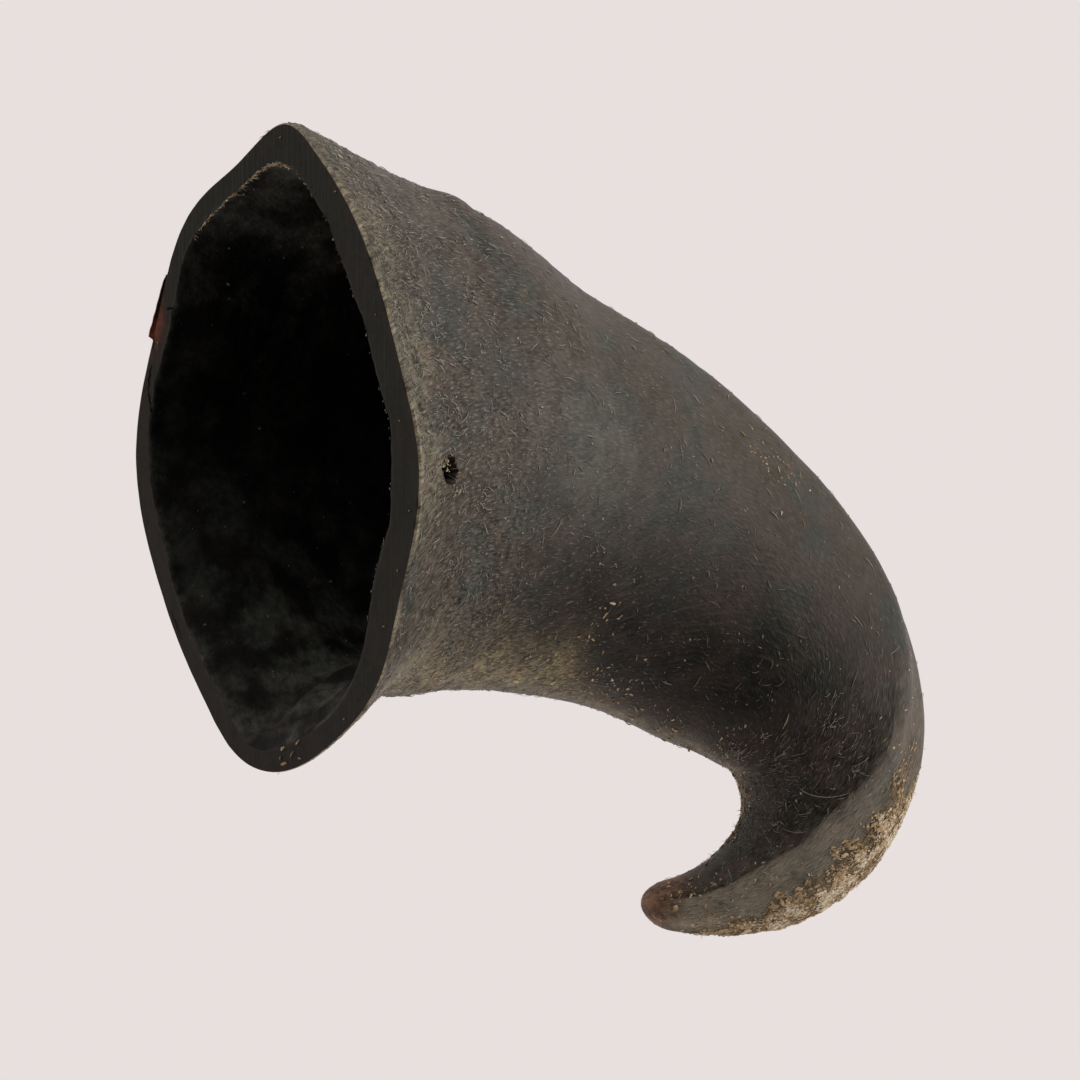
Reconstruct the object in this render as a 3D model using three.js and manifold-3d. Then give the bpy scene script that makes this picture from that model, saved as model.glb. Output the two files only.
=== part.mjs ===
// A short, tightly hooked buffalo horn, sawn off at its base and hollow for most of its length:
// one closed shell, lying on its far flank. Millimetres, +Z up.
//
// The horn is first drawn in its own axes and then laid down. In those axes the origin is the middle
// of the sawn face, +X runs into the horn, +Z points to the keel (the ridge along the outside of the
// curl) and -Y to the near flank. A place on the horn is a distance s along the centre line and an
// angle u round the section: 90 degrees is the keel, 0 the near flank, -90 the belly, 180 the far
// flank.
import * as THREE from "three";
import { LoftGeometry } from "three/addons/geometries/LoftGeometry.js";
import { mergeVertices } from "three/addons/utils/BufferGeometryUtils.js";
import Module from "manifold-3d";

// Driving dimensions
const FACE_HEIGHT = 91.2; // sawn face, keel to belly
const FACE_NEAR = 29.5; // sawn face, middle to near flank
const FACE_FAR = 30; // sawn face, middle to far flank
const LENGTH = 153; // along the centre line, sawn face to tip
const TIP_CAP = 5; // length of the rounded end
const CAVITY_DEPTH = 92; // along the centre line
const CAVITY_CAP = 9; // length of the cavity's rounded end
const MOUTH_LENGTH = 40; // the section changes from the mouth's outline to the body's over this length

// How the horn lies: turned about its own keel axis, then heeled over onto the far flank, then
// swung until the mouth faces -Y.
const REST_TURN = 17.8;
const REST_HEEL = -81;
const REST_SWING = 90;

// Fineness of the faceted shell
const RING_POINTS = 40;
const OUTER_STEP = 4;
const INNER_STEP = 6;
const CAP_STEPS = 4;
const MERGE_DISTANCE = 1e-4;
const CUT_CLEARANCE = 1; // the cavity's cutter starts this far outside the sawn face

// s; centre x, y, z; half-sizes to the keel, belly, near flank and far flank; turn of the keel in
// degrees towards the near flank
const STATIONS = [
  [0, 0, 0, 0, FACE_HEIGHT / 2, FACE_HEIGHT / 2, FACE_NEAR, FACE_FAR, 0],
  [12, 12, -0.2, 0.3, 40.8, 37.3, 27, 27.5, 1],
  [20, 20, -0.6, -0.3, 37.8, 34.9, 25.7, 26, 3],
  [29, 29, -1.3, -1.5, 35.5, 34.1, 24.5, 24.5, 7],
  [42, 41.6, -2.9, -4.4, 30, 31.4, 23, 22.7, 12],
  [55, 53.7, -5.2, -8.4, 27.7, 28.7, 21, 20.9, 17],
  [81, 75.3, -12.9, -20.6, 22.9, 23.4, 18.5, 18.8, 34],
  [101, 87.3, -19.8, -34.6, 18.5, 19.6, 17.9, 17.5, 68],
  [115.5, 90.3, -21.8, -48.3, 13.2, 13.3, 15.5, 13.5, 108],
  [126, 87, -19.5, -58, 9.8, 9.7, 10.9, 10.4, 125],
  [138, 79.3, -13.8, -64.8, 7, 6.5, 6.7, 6.7, 119],
  [149, 71.1, -7.3, -66.6, 4.1, 3.8, 3.5, 4.1, 106],
  [LENGTH, 68.3, -5.1, -66.6, 3, 3, 3.2, 3.2, 104],
];

// Outlines of a section: angle u, then the radius as a share of the half-size on that side
const MOUTH_OUTLINE = [
  [-157, 0.949],
  [-134, 0.922],
  [-121, 0.942],
  [-109, 0.986],
  [-88, 1],
  [-63, 0.99],
  [-43, 1.008],
  [-30, 0.976],
  [-4, 0.993],
  [9, 0.928],
  [23, 0.878],
  [40, 0.872],
  [57, 0.896],
  [74, 0.952],
  [86, 1],
  [97, 0.962],
  [108, 0.926],
  [133, 0.966],
  [156, 0.944],
  [180, 1.006],
];
const CAVITY_OUTLINE = [
  [-161, 0.842],
  [-145, 0.827],
  [-127, 0.831],
  [-114, 0.868],
  [-101, 0.927],
  [-86, 0.909],
  [-61, 0.891],
  [-48, 0.863],
  [-35, 0.795],
  [-10, 0.796],
  [25, 0.703],
  [41, 0.699],
  [55, 0.731],
  [71, 0.8],
  [87, 0.868],
  [108, 0.841],
  [126, 0.865],
  [138, 0.872],
  [150, 0.837],
  [179, 0.896],
];
// The keel at 90 degrees and a second, rounder ridge at 131 have a flatter band between them, and the
// horn lies on the flatter part of its far flank, at -153.
const BODY_OUTLINE = [
  [-174, 1],
  [-153, 0.955],
  [-132, 1],
  [-110, 1],
  [-90, 1],
  [-60, 1],
  [-30, 0.99],
  [0, 0.98],
  [30, 0.97],
  [60, 0.965],
  [76, 0.985],
  [90, 1.02],
  [111, 0.965],
  [131, 1.01],
  [150, 0.99],
];
// s, then the cavity's size as a share of the horn's: the wall thickens towards the tip
const CAVITY_SHARE = [
  [0, 1],
  [30, 0.87],
  [60, 0.76],
  [80, 0.62],
  [CAVITY_DEPTH, 0.5],
];

const wasm = await Module();
wasm.setup();
const { degToRad, lerp, smoothstep } = THREE.MathUtils;

// Natural cubic spline through rows of [x, value]: returns the value at any x.
function spline(rows) {
  const x = rows.map((row) => row[0]);
  const y = rows.map((row) => row[1]);
  const last = x.length - 1;
  const bend = new Array(last + 1).fill(0);
  const carry = new Array(last + 1).fill(0);
  for (let i = 1; i < last; i++) {
    const share = (x[i] - x[i - 1]) / (x[i + 1] - x[i - 1]);
    const pivot = share * bend[i - 1] + 2;
    const slopeAfter = (y[i + 1] - y[i]) / (x[i + 1] - x[i]);
    const slopeBefore = (y[i] - y[i - 1]) / (x[i] - x[i - 1]);
    const turn = (6 * (slopeAfter - slopeBefore)) / (x[i + 1] - x[i - 1]);
    bend[i] = (share - 1) / pivot;
    carry[i] = (turn - share * carry[i - 1]) / pivot;
  }
  bend[last] = 0;
  for (let i = last - 1; i >= 0; i--) bend[i] = bend[i] * bend[i + 1] + carry[i];
  return (at) => {
    let i = 0;
    while (i < last - 1 && at > x[i + 1]) i++;
    const gap = x[i + 1] - x[i];
    const a = (x[i + 1] - at) / gap;
    const b = (at - x[i]) / gap;
    const curve = ((a ** 3 - a) * bend[i] + (b ** 3 - b) * bend[i + 1]) * gap ** 2;
    return a * y[i] + b * y[i + 1] + curve / 6;
  };
}

// A closed outline as a spline of its angle: the rows are repeated a turn before and a turn after.
function outline(rows) {
  const turns = [-360, 0, 360];
  return spline(turns.flatMap((turn) => rows.map(([u, radius]) => [u + turn, radius])));
}

const channel = (column) => spline(STATIONS.map((row) => [row[0], row[column]]));
const centre = [1, 2, 3].map(channel);
const [toKeel, toBelly, toNear, toFar, keelTurn] = [4, 5, 6, 7, 8].map(channel);
const mouthRadius = outline(MOUTH_OUTLINE);
const cavityRadius = outline(CAVITY_OUTLINE);
const bodyRadius = outline(BODY_OUTLINE);
const cavityShare = spline(CAVITY_SHARE);

const centreAt = (s) => new THREE.Vector3(...centre.map((value) => value(s)));

// The section's own axes at s: one towards the near flank, one towards the keel. The section lies in
// the sawn plane at the mouth and square to the centre line from the end of the mouth on.
function sectionAxes(s) {
  const step = 0.5;
  const along = centreAt(s + step).sub(centreAt(s - step)).normalize();
  const normal = new THREE.Vector3(1, 0, 0).lerp(along, smoothstep(s, 0, MOUTH_LENGTH)).normalize();
  const near = new THREE.Vector3(0, -1, 0).projectOnPlane(normal).normalize();
  const keel = near.clone().cross(normal);
  const turn = degToRad(keelTurn(s));
  near.applyAxisAngle(normal, turn);
  keel.applyAxisAngle(normal, turn);
  return { near, keel };
}

// One ring of points round the centre line at s. radiusAt gives the outline at an angle, and round
// shrinks the ring for a rounded end.
function ring(s, radiusAt, round) {
  const { near, keel } = sectionAxes(s);
  const points = [];
  for (let i = 0; i < RING_POINTS; i++) {
    const u = 180 - (360 * i) / RING_POINTS;
    const sideways = Math.cos(degToRad(u));
    const upward = Math.sin(degToRad(u));
    const radius = radiusAt(u) * round;
    const point = centreAt(s);
    point.addScaledVector(near, radius * sideways * (sideways > 0 ? toNear(s) : toFar(s)));
    point.addScaledVector(keel, radius * upward * (upward > 0 ? toKeel(s) : toBelly(s)));
    points.push(point);
  }
  return points;
}

// Distances from the mouth to a rounded end, each with the share of its size that the ring keeps.
function stops(end, cap, spacing) {
  const start = end - cap;
  const count = Math.round(start / spacing);
  const list = [];
  for (let i = 0; i < count; i++) list.push([(start * i) / count, 1]);
  for (let i = 0; i < CAP_STEPS; i++) {
    const angle = (Math.PI / 2) * (i / (CAP_STEPS - 0.4));
    list.push([start + cap * Math.sin(angle), Math.cos(angle)]);
  }
  return list;
}

function outerRing([s, round]) {
  const blend = smoothstep(s, 0, MOUTH_LENGTH);
  return ring(s, (u) => lerp(mouthRadius(u), bodyRadius(u), blend), round);
}

function innerRing([s, round]) {
  const blend = smoothstep(s, 0, MOUTH_LENGTH);
  const share = cavityShare(s);
  return ring(s, (u) => lerp(cavityRadius(u), bodyRadius(u), blend) * share, round);
}

// A closed geometry as a solid that can be cut.
function solid(geometry) {
  const bare = new THREE.BufferGeometry().setIndex(geometry.getIndex());
  bare.setAttribute("position", geometry.getAttribute("position"));
  const merged = mergeVertices(bare, MERGE_DISTANCE);
  const vertProperties = merged.attributes.position.array;
  const triVerts = new Uint32Array(merged.index.array);
  return new wasm.Manifold(new wasm.Mesh({ numProp: 3, vertProperties, triVerts }));
}

function geometryOf(cut) {
  const { vertProperties, triVerts } = cut.getMesh();
  const geometry = new THREE.BufferGeometry();
  geometry.setAttribute("position", new THREE.BufferAttribute(vertProperties, 3));
  geometry.setIndex(new THREE.BufferAttribute(triVerts, 1));
  geometry.computeVertexNormals();
  return geometry;
}

function loftSolid(sections) {
  return solid(new LoftGeometry(sections, { capStart: true, capEnd: true }));
}

function cavity() {
  const rings = stops(CAVITY_DEPTH, CAVITY_CAP, INNER_STEP).map(innerRing);
  const clearOfFace = rings[0].map((point) => point.clone().setX(-CUT_CLEARANCE));
  return loftSolid([clearOfFace, ...rings]);
}

function hornSheath() {
  const horn = loftSolid(stops(LENGTH, TIP_CAP, OUTER_STEP).map(outerRing));
  const shell = geometryOf(horn.subtract(cavity()));
  layDown(shell);
  const material = new THREE.MeshStandardMaterial({ color: "#3c3733", roughness: 0.55, metalness: 0 });
  const mesh = new THREE.Mesh(shell, material);
  mesh.name = "horn_sheath";
  return mesh;
}

// Turns the drawn horn into its rest, and puts the middle of its footprint at the origin.
function layDown(geometry) {
  geometry.rotateZ(degToRad(REST_TURN));
  geometry.rotateX(degToRad(REST_HEEL));
  geometry.rotateZ(degToRad(REST_SWING));
  geometry.computeBoundingBox();
  const { min, max } = geometry.boundingBox;
  geometry.translate(-(min.x + max.x) / 2, -(min.y + max.y) / 2, -min.z);
}

const horn = new THREE.Group();
horn.add(hornSheath());

export default horn;
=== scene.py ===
"""A short, tightly hooked buffalo horn, sawn off at its base and hollow for most of its length.

The horn is worked out in its own axes, in millimetres: the origin is the middle of the sawn face, +X
runs into the horn, +Z points to the keel along the outside of the curl and -Y to the near flank. A
place on it is a distance s along the centre line and an angle u round the section: 90 degrees is the
keel, 0 the near flank, -90 the belly and 180 the far flank. It is then laid on its far flank, in
metres, where the frame's own horn lies.
"""

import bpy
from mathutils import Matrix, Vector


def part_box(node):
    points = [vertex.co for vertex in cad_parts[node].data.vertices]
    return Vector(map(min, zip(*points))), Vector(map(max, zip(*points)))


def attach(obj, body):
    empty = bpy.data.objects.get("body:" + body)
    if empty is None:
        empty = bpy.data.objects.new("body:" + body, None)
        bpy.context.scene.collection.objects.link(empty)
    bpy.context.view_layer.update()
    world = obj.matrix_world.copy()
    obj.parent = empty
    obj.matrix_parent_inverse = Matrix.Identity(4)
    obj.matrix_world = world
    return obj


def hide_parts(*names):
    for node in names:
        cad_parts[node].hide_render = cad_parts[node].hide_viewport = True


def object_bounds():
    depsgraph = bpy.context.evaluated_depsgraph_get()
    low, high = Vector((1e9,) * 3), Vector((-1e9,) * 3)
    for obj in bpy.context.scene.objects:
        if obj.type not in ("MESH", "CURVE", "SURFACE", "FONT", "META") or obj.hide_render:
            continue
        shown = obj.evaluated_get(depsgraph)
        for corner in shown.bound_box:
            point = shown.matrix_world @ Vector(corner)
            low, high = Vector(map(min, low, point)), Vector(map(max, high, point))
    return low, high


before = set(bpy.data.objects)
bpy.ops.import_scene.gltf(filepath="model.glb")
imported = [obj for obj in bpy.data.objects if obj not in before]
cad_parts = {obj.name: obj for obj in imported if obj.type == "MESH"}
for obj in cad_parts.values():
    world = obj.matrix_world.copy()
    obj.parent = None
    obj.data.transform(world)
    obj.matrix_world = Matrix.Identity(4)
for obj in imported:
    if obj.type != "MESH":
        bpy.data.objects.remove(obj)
CAD_BOX = [list(corner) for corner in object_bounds()]

import math
from functools import partial

import bpy
import numpy as np
from bpy.props import FloatProperty, FloatVectorProperty, IntProperty, PointerProperty
from bpy.types import Operator, Panel, PropertyGroup
from mathutils import Matrix

bl_info = {
    "name": "Buffalo Horn",
    "version": (1, 0, 0),
    "blender": (4, 5, 0),
    "location": "View3D > Sidebar > Horn",
    "description": "Builds a sawn, hollow buffalo horn with its crust, fibres and saw marks",
    "category": "Object",
}

MM = 0.001
NODE = "horn_sheath"
BODY = "root"

# The horn's sizes, in millimetres along the centre line
LENGTH = 153.0
TIP_CAP = 5.0
CAVITY_DEPTH = 92.0
CAVITY_CAP = 9.0
MOUTH_LENGTH = 40.0

# How it lies: turned about its keel axis, heeled onto the far flank, swung until the mouth faces -Y
REST_TURN = 17.8
REST_HEEL = -81.0
REST_SWING = 90.0

# s; centre x, y, z; half-sizes to the keel, belly, near flank and far flank; turn of the keel in
# degrees towards the near flank
STATIONS = np.array([
    (0, 0, 0, 0, 45.6, 45.6, 29.5, 30, 0),
    (12, 12, -0.2, 0.3, 40.8, 37.3, 27, 27.5, 1),
    (20, 20, -0.6, -0.3, 37.8, 34.9, 25.7, 26, 3),
    (29, 29, -1.3, -1.5, 35.5, 34.1, 24.5, 24.5, 7),
    (42, 41.6, -2.9, -4.4, 30, 31.4, 23, 22.7, 12),
    (55, 53.7, -5.2, -8.4, 27.7, 28.7, 21, 20.9, 17),
    (81, 75.3, -12.9, -20.6, 22.9, 23.4, 18.5, 18.8, 34),
    (101, 87.3, -19.8, -34.6, 18.5, 19.6, 17.9, 17.5, 68),
    (115.5, 90.3, -21.8, -48.3, 13.2, 13.3, 15.5, 13.5, 108),
    (126, 87, -19.5, -58, 9.8, 9.7, 10.9, 10.4, 125),
    (138, 79.3, -13.8, -64.8, 7, 6.5, 6.7, 6.7, 119),
    (149, 71.1, -7.3, -66.6, 4.1, 3.8, 3.5, 4.1, 106),
    (153, 68.3, -5.1, -66.6, 3, 3, 3.2, 3.2, 104),
])
# Outlines of a section: angle u, then the radius as a share of the half-size on that side
MOUTH_OUTLINE = np.array([
    (-157, 0.949), (-134, 0.922), (-121, 0.942), (-109, 0.986), (-88, 1), (-63, 0.99), (-43, 1.008),
    (-30, 0.976), (-4, 0.993), (9, 0.928), (23, 0.878), (40, 0.872), (57, 0.896), (74, 0.952),
    (86, 1), (97, 0.962), (108, 0.926), (133, 0.966), (156, 0.944), (180, 1.006),
])
CAVITY_OUTLINE = np.array([
    (-161, 0.842), (-145, 0.827), (-127, 0.831), (-114, 0.868), (-101, 0.927), (-86, 0.909),
    (-61, 0.891), (-48, 0.863), (-35, 0.795), (-10, 0.796), (25, 0.703), (41, 0.699), (55, 0.731),
    (71, 0.8), (87, 0.868), (108, 0.841), (126, 0.865), (138, 0.872), (150, 0.837), (179, 0.896),
])
BODY_OUTLINE = np.array([
    (-174, 1), (-153, 0.955), (-132, 1), (-110, 1), (-90, 1), (-60, 1), (-30, 0.99), (0, 0.98),
    (30, 0.97), (60, 0.965), (76, 0.985), (90, 1.02), (111, 0.965), (131, 1.01), (150, 0.99),
])
CAVITY_SHARE = np.array([(0, 1), (30, 0.87), (60, 0.76), (80, 0.62), (92, 0.5)])

# The rings that the frame's own horn is lofted from: the fine surface is placed by their box
FRAME_RING_POINTS = 40
FRAME_RINGS = 37
FRAME_CAP_RINGS = 4
FRAME_CAP_STEPS = 3.6

BORE = (7.2, -4.9)  # s and u of the insect bore by the mouth
BORE_HALF_LENGTH = 1.55  # round the section
BORE_HALF_WIDTH = 1.65
BORE_DEPTH = 4.2

# Folds that run into the hollow from the rim: the angle u at the rim, how many degrees a millimetre
# they lean, how far they stand out and their half-width in degrees
FOLDS = ((-92, 0.4, 1.1, 5.0), (-84, 2.2, 0.7, 3.6))

# Lines along the horn that the crust's edge, the olive belly, the keel's ridge and the painted shade of
# the dark side follow: s, then the angle u
CRUST_EDGE = np.array([
    (106, 122), (112, 106), (116, 107), (120, 115), (123, 110), (128, 119), (133, 121), (137, 139),
    (146, 152),
])
BELLY_LINE = np.array([
    (0, -70), (20, -66), (45, -60), (58, -60), (72, -67), (84, -66), (98, -46), (112, -22),
    (124, -6), (138, 10),
])
KEEL_RIDGE = np.array([
    (98, 80), (108, 84), (112, 87), (116, 84), (121, 84), (127, 88), (134, 86), (145, 95),
])
PAINTED_SHADE_LINE = np.array([
    (18, -46), (34, -40), (50, -34), (66, -24), (83, -16), (97, 16), (112, 44), (124, 44), (140, 44),
])
# How strongly the grey band outside the hook shows, its paleness partly painted light: s, then its share
BAND_STRENGTH = np.array([
    (94, 0), (104, 0.06), (112, 0.19), (119, 0.29), (126, 0.44), (135, 0.6), (143, 1),
])

# Straight into the horn from the sawn face, and the face's own directions: to the near flank, to the
# keel and out of the face
INTO_HORN = np.array([1.0, 0, 0])
FACE_AXES = np.array([(0, -1.0, 0), (0, 0, 1.0), (-1.0, 0, 0)])


# ---------------------------------------------------------------------------------------- numbers


def linear(hex_colour):
    """The scene-linear colour of an sRGB hex colour such as #3c3733."""
    part = np.array([int(hex_colour[i:i + 2], 16) for i in (1, 3, 5)]) / 255
    return tuple(float(c) for c in np.where(part <= 0.04045, part / 12.92, ((part + 0.055) / 1.055) ** 2.4))


def unit(vectors):
    return vectors / np.maximum(np.linalg.norm(vectors, axis=-1, keepdims=True), 1e-12)


def ease(x):
    """0 below 0, 1 above 1, and 3x^2 - 2x^3 between them."""
    x = np.clip(x, 0, 1)
    return x * x * (3 - 2 * x)


def bell(x):
    """1 at 0, and less and less on both sides of it: exp(-x^2)."""
    return np.exp(-x**2)


def mix(a, b, share):
    return a + (b - a) * share


def spline(rows, at):
    """Natural cubic spline through rows of x and values: between two rows it is the straight line
    plus a cubic term in the second derivatives, which a three-diagonal system gives."""
    x, y = rows[:, 0], rows[:, 1:]
    gap = np.diff(x)[:, None]
    slope = np.diff(y, axis=0) / gap
    count = len(x)
    system = np.eye(count)
    inner = np.arange(1, count - 1)
    system[inner, inner - 1] = gap[:-1, 0]
    system[inner, inner] = 2 * (gap[:-1, 0] + gap[1:, 0])
    system[inner, inner + 1] = gap[1:, 0]
    right = np.zeros_like(y)
    right[1:-1] = 6 * np.diff(slope, axis=0)
    bend = np.linalg.solve(system, right)
    at = np.asarray(at, float)
    i = np.clip(np.searchsorted(x, at) - 1, 0, count - 2)
    a = ((x[i + 1] - at) / gap[i, 0])[..., None]
    b = 1 - a
    return a * y[i] + b * y[i + 1] + ((a**3 - a) * bend[i] + (b**3 - b) * bend[i + 1]) * gap[i] ** 2 / 6


def outline(rows, u):
    """A closed outline's radius share: the spline of its rows, repeated a turn before and after."""
    turns = np.concatenate([rows + (turn, 0) for turn in (-360, 0, 360)])
    return spline(turns, u)[..., 0]


def line(rows, s):
    """A line along the horn: straight between its rows, level beyond its ends."""
    return np.interp(s, rows[:, 0], rows[:, 1])


def lumps(points, cell, seed):
    """Smooth noise in space, -1 to 1: random heights on a lattice of cells this wide, and between
    the eight corners of a cell each direction blends with ease()."""
    table = np.random.default_rng(seed).uniform(-1, 1, (64, 64, 64))
    scaled = points / cell
    low = np.floor(scaled).astype(int)
    share = ease(scaled - low)
    total = 0
    for corner in np.ndindex(2, 2, 2):
        weight = np.prod(np.where(corner, share, 1 - share), axis=-1)
        x, y, z = np.moveaxis((low + corner) % 64, -1, 0)
        total = total + weight * table[x, y, z]
    return total


# ---------------------------------------------------------------------------------- the horn's form


def sections(s):
    """The centre, the section's normal and its two axes at s, towards the near flank and the keel.
    The normal goes from +X at the mouth to the centre line's own direction past the mouth, and both
    axes turn about it by the keel's turn."""
    step = 0.5
    centre = spline(STATIONS[:, :4], s)
    along = unit(spline(STATIONS[:, :4], s + step) - spline(STATIONS[:, :4], s - step))
    normal = unit(mix(INTO_HORN, along, ease(s / MOUTH_LENGTH)[..., None]))
    side = np.array([0, -1.0, 0])
    near = unit(side - (normal @ side)[..., None] * normal)
    keel = np.cross(near, normal)
    turn = np.radians(spline(STATIONS[:, [0, 8]], s))
    turned = [axis * np.cos(turn) + np.cross(normal, axis) * np.sin(turn) for axis in (near, keel)]
    return centre, normal, *turned


def place(s, u, radius):
    """centre + near cos(u) radius half-width + keel sin(u) radius half-height."""
    centre, _, near, keel = sections(s)
    to_keel, to_belly, to_near, to_far = np.moveaxis(spline(STATIONS[:, [0, 4, 5, 6, 7]], s), -1, 0)
    sideways, upward = np.cos(np.radians(u)), np.sin(np.radians(u))
    across = radius * sideways * np.where(sideways > 0, to_near, to_far)
    rise = radius * upward * np.where(upward > 0, to_keel, to_belly)
    return centre + across[..., None] * near + rise[..., None] * keel


def rounded(s, end, cap):
    """The share of its size that a section keeps in a rounded end: a quarter of an ellipse."""
    return np.sqrt(np.clip(1 - (np.clip(s - end + cap, 0, None) / cap) ** 2, 0, 1))


def flank(s, u):
    """The outer wall before its relief: the mouth's outline, easing into the body's."""
    share = mix(outline(MOUTH_OUTLINE, u), outline(BODY_OUTLINE, u), ease(s / MOUTH_LENGTH))
    return place(s, u, share * rounded(s, LENGTH, TIP_CAP))


def lining(s, u):
    """The hollow's wall before its relief, smaller than the horn by a share that falls with s."""
    share = mix(outline(CAVITY_OUTLINE, u), outline(BODY_OUTLINE, u), ease(s / MOUTH_LENGTH))
    share = share * spline(CAVITY_SHARE, s)[..., 0]
    return place(s, u, share * rounded(s, CAVITY_DEPTH, CAVITY_CAP))


def directions(wall, s, u, end):
    """Unit directions on a wall at (s, u): along s, round u and outwards, from small differences."""
    s = np.clip(s, 0, end - 0.4)
    along = unit(wall(s + 0.2, u) - wall(s - 0.2, u))
    around = unit(wall(s, u + 0.4) - wall(s, u - 0.4))
    outward = unit(np.cross(around, along))
    away = wall(s, u) - spline(STATIONS[:, :4], s)
    outward = outward * np.sign(np.sum(outward * away, axis=-1, keepdims=True))
    return along, around, outward


def angle_from(u, middle):
    """The angle between u and the middle, -180 to 180."""
    return (u - middle + 180) % 360 - 180


def patch(s, u, middle_s, middle_u, reach_s, reach_u):
    """A soft spot: exp(-(ds/reach)^2 - (du/reach)^2)."""
    return np.exp(-(((s - middle_s) / reach_s) ** 2) - (angle_from(u, middle_u) / reach_u) ** 2)


def patches(s, u, *spots):
    """Several soft spots added up: each is its strength and then what patch() takes."""
    return sum(strength * patch(s, u, *spot) for strength, *spot in spots)


def bore_shape(s, u, points):
    """1 in the bore and 0 outside it: an ellipse whose ragged edge comes from lumps()."""
    along = (s - BORE[0]) / BORE_HALF_WIDTH
    around = angle_from(u, BORE[1]) * 0.52 / BORE_HALF_LENGTH
    lean = along + 0.25 * around
    ragged = 1 + 0.16 * lumps(points, 0.8, 5)
    return ease((ragged - np.hypot(lean, around)) / 0.22)


def beyond_crust_edge(s, u):
    """How many degrees a place lies outside the crust's edge, which wavers along the hook."""
    return u % 360 - line(CRUST_EDGE, s) - 4 * np.sin(s * 1.3) - 3 * np.sin(s * 2.9 + 1)


def crust_share(s, u):
    """How much crust the outside of the hook carries: 1 outside its ragged edge, from about s 117 to
    139."""
    outside = ease((beyond_crust_edge(s, u) + 4) / 13) * ease((214 - u % 360) / 30)
    start = 111.5 + 2.2 * np.sin(np.radians(9 * u)) + np.sin(np.radians(23 * u + 40))
    return outside * ease((s - start) / 5.5) * ease((148 - s) / 9)


def growth_ledge(u):
    """The s of the growth ledge that leans across the upper near flank."""
    return 18.6 + (u - 41) * 0.195


def relief(s, u, points):
    """How far the outer wall stands out of its even form: slow swellings, growth ledges by the
    mouth, ripples round the horn, the keel's ridge and lumpy crust on the hook, and the bore."""
    height = 0.2 * lumps(points, 11, 1) + 0.09 * lumps(points, 4.2, 2) + 0.035 * lumps(points, 1.5, 3)
    height += 0.5 * ease((growth_ledge(u) - s) / 0.9) * ease((u - 22) / 20) * ease((118 - u) / 20)
    height += 0.5 * patch(s, u, 24.4, 83, 2.2, 8)
    ledge = 9.5 + 0.02 * u
    height += 0.12 * ease((ledge - s) / 1.2) * ease((u + 10) / 40) * ease((120 - u) / 30)
    ripple = np.sin(s * 2.1 + 1.3 * lumps(points, 9, 4))
    height += 0.035 * ripple * ease((90 - s) / 40)
    ridge = 0.8 * np.exp(-np.abs(angle_from(u, line(KEEL_RIDGE, s)) / 11) ** 1.4)
    height += (ridge - 0.3 * patch(0, u, 0, 30, 1, 28)) * ease((s - 98) / 10) * ease((150 - s) / 10)
    crust = crust_share(s, u)
    height += crust * (0.14 * lumps(points, 0.9, 6) + 0.2 * lumps(points, 2.3, 7) + 0.1)
    height *= ease(s / 2) * rounded(s, LENGTH, TIP_CAP)
    return height - BORE_DEPTH * bore_shape(s, u, points)


def skin(s, u):
    """The finished outer wall: flank() moved along its outward direction by relief()."""
    points = flank(s, u)
    return points + directions(flank, s, u, LENGTH)[2] * relief(s, u, points)[..., None]


def lining_relief(s, u, points):
    """The hollow's swellings, and two folds that run in from the belly side of the rim."""
    height = 0.45 * lumps(points, 9, 11) + 0.16 * lumps(points, 3, 12) + 0.05 * lumps(points, 1.2, 13)
    for middle, slant, depth, width in FOLDS:
        fold = angle_from(u, middle + slant * s) / width
        height = height - depth * bell(fold) * ease(s / 3) * ease((26 - s) / 14)
    return height * ease(s / 1.5) * rounded(s, CAVITY_DEPTH, CAVITY_CAP)


def rim_teeth(u):
    """How far the saw's chatter bites the inner edge outwards: teeth 2.6 mm apart on the near side,
    smaller ones elsewhere."""
    near_side = ease((u + 50) / 20) * ease((88 - u) / 12)
    tooth = 0.5 + 0.5 * np.sin(np.radians(u) * 13.5 + 0.8 * np.sin(np.radians(u) * 5))
    rough = np.sin(np.radians(u) * 31 + 1) * np.sin(np.radians(u) * 47)
    nick = 0.55 * bell(angle_from(u, 149.5) / 1.6) + 0.35 * bell(angle_from(u, 166) / 1.5)
    return 0.42 * near_side * tooth**3 + 0.08 * rough + nick


def inner_skin(s, u):
    """The finished wall of the hollow, with the rim's teeth fading out 2.5 mm in."""
    points = lining(s, u)
    outward = directions(lining, s, u, CAVITY_DEPTH)[2]
    height = lining_relief(s, u, points) + rim_teeth(u) * ease((2.5 - s) / 2.5)
    return points + outward * height[..., None]


def rotation(axis, degrees):
    return np.array(Matrix.Rotation(math.radians(degrees), 3, axis))


REST = rotation("Z", REST_SWING) @ rotation("X", REST_HEEL) @ rotation("Z", REST_TURN)


def rest_shift():
    """What moves the turned horn onto the frame's: the middle of the frame node's footprint, less
    that of the rings which the node is lofted from."""
    start = LENGTH - TIP_CAP
    cap = start + TIP_CAP * np.sin(np.pi / 2 * np.arange(FRAME_CAP_RINGS) / FRAME_CAP_STEPS)
    s = np.concatenate([start * np.arange(FRAME_RINGS) / FRAME_RINGS, cap])
    u = 180 - 360 * np.arange(FRAME_RING_POINTS) / FRAME_RING_POINTS
    rings = (flank(*np.meshgrid(s, u)) @ REST.T * MM).reshape(-1, 3)
    low, high = (np.array(corner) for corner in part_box(NODE))
    shift = (low + high) / 2 - (rings.min(axis=0) + rings.max(axis=0)) / 2
    shift[2] = low[2] - rings[:, 2].min()
    return shift


SHIFT = rest_shift()


def lay(points):
    """Points of the horn's own axes, in millimetres, where they lie in the frame, in metres."""
    return points @ REST.T * MM + SHIFT


# ------------------------------------------------------------------------------------ mesh making


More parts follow.
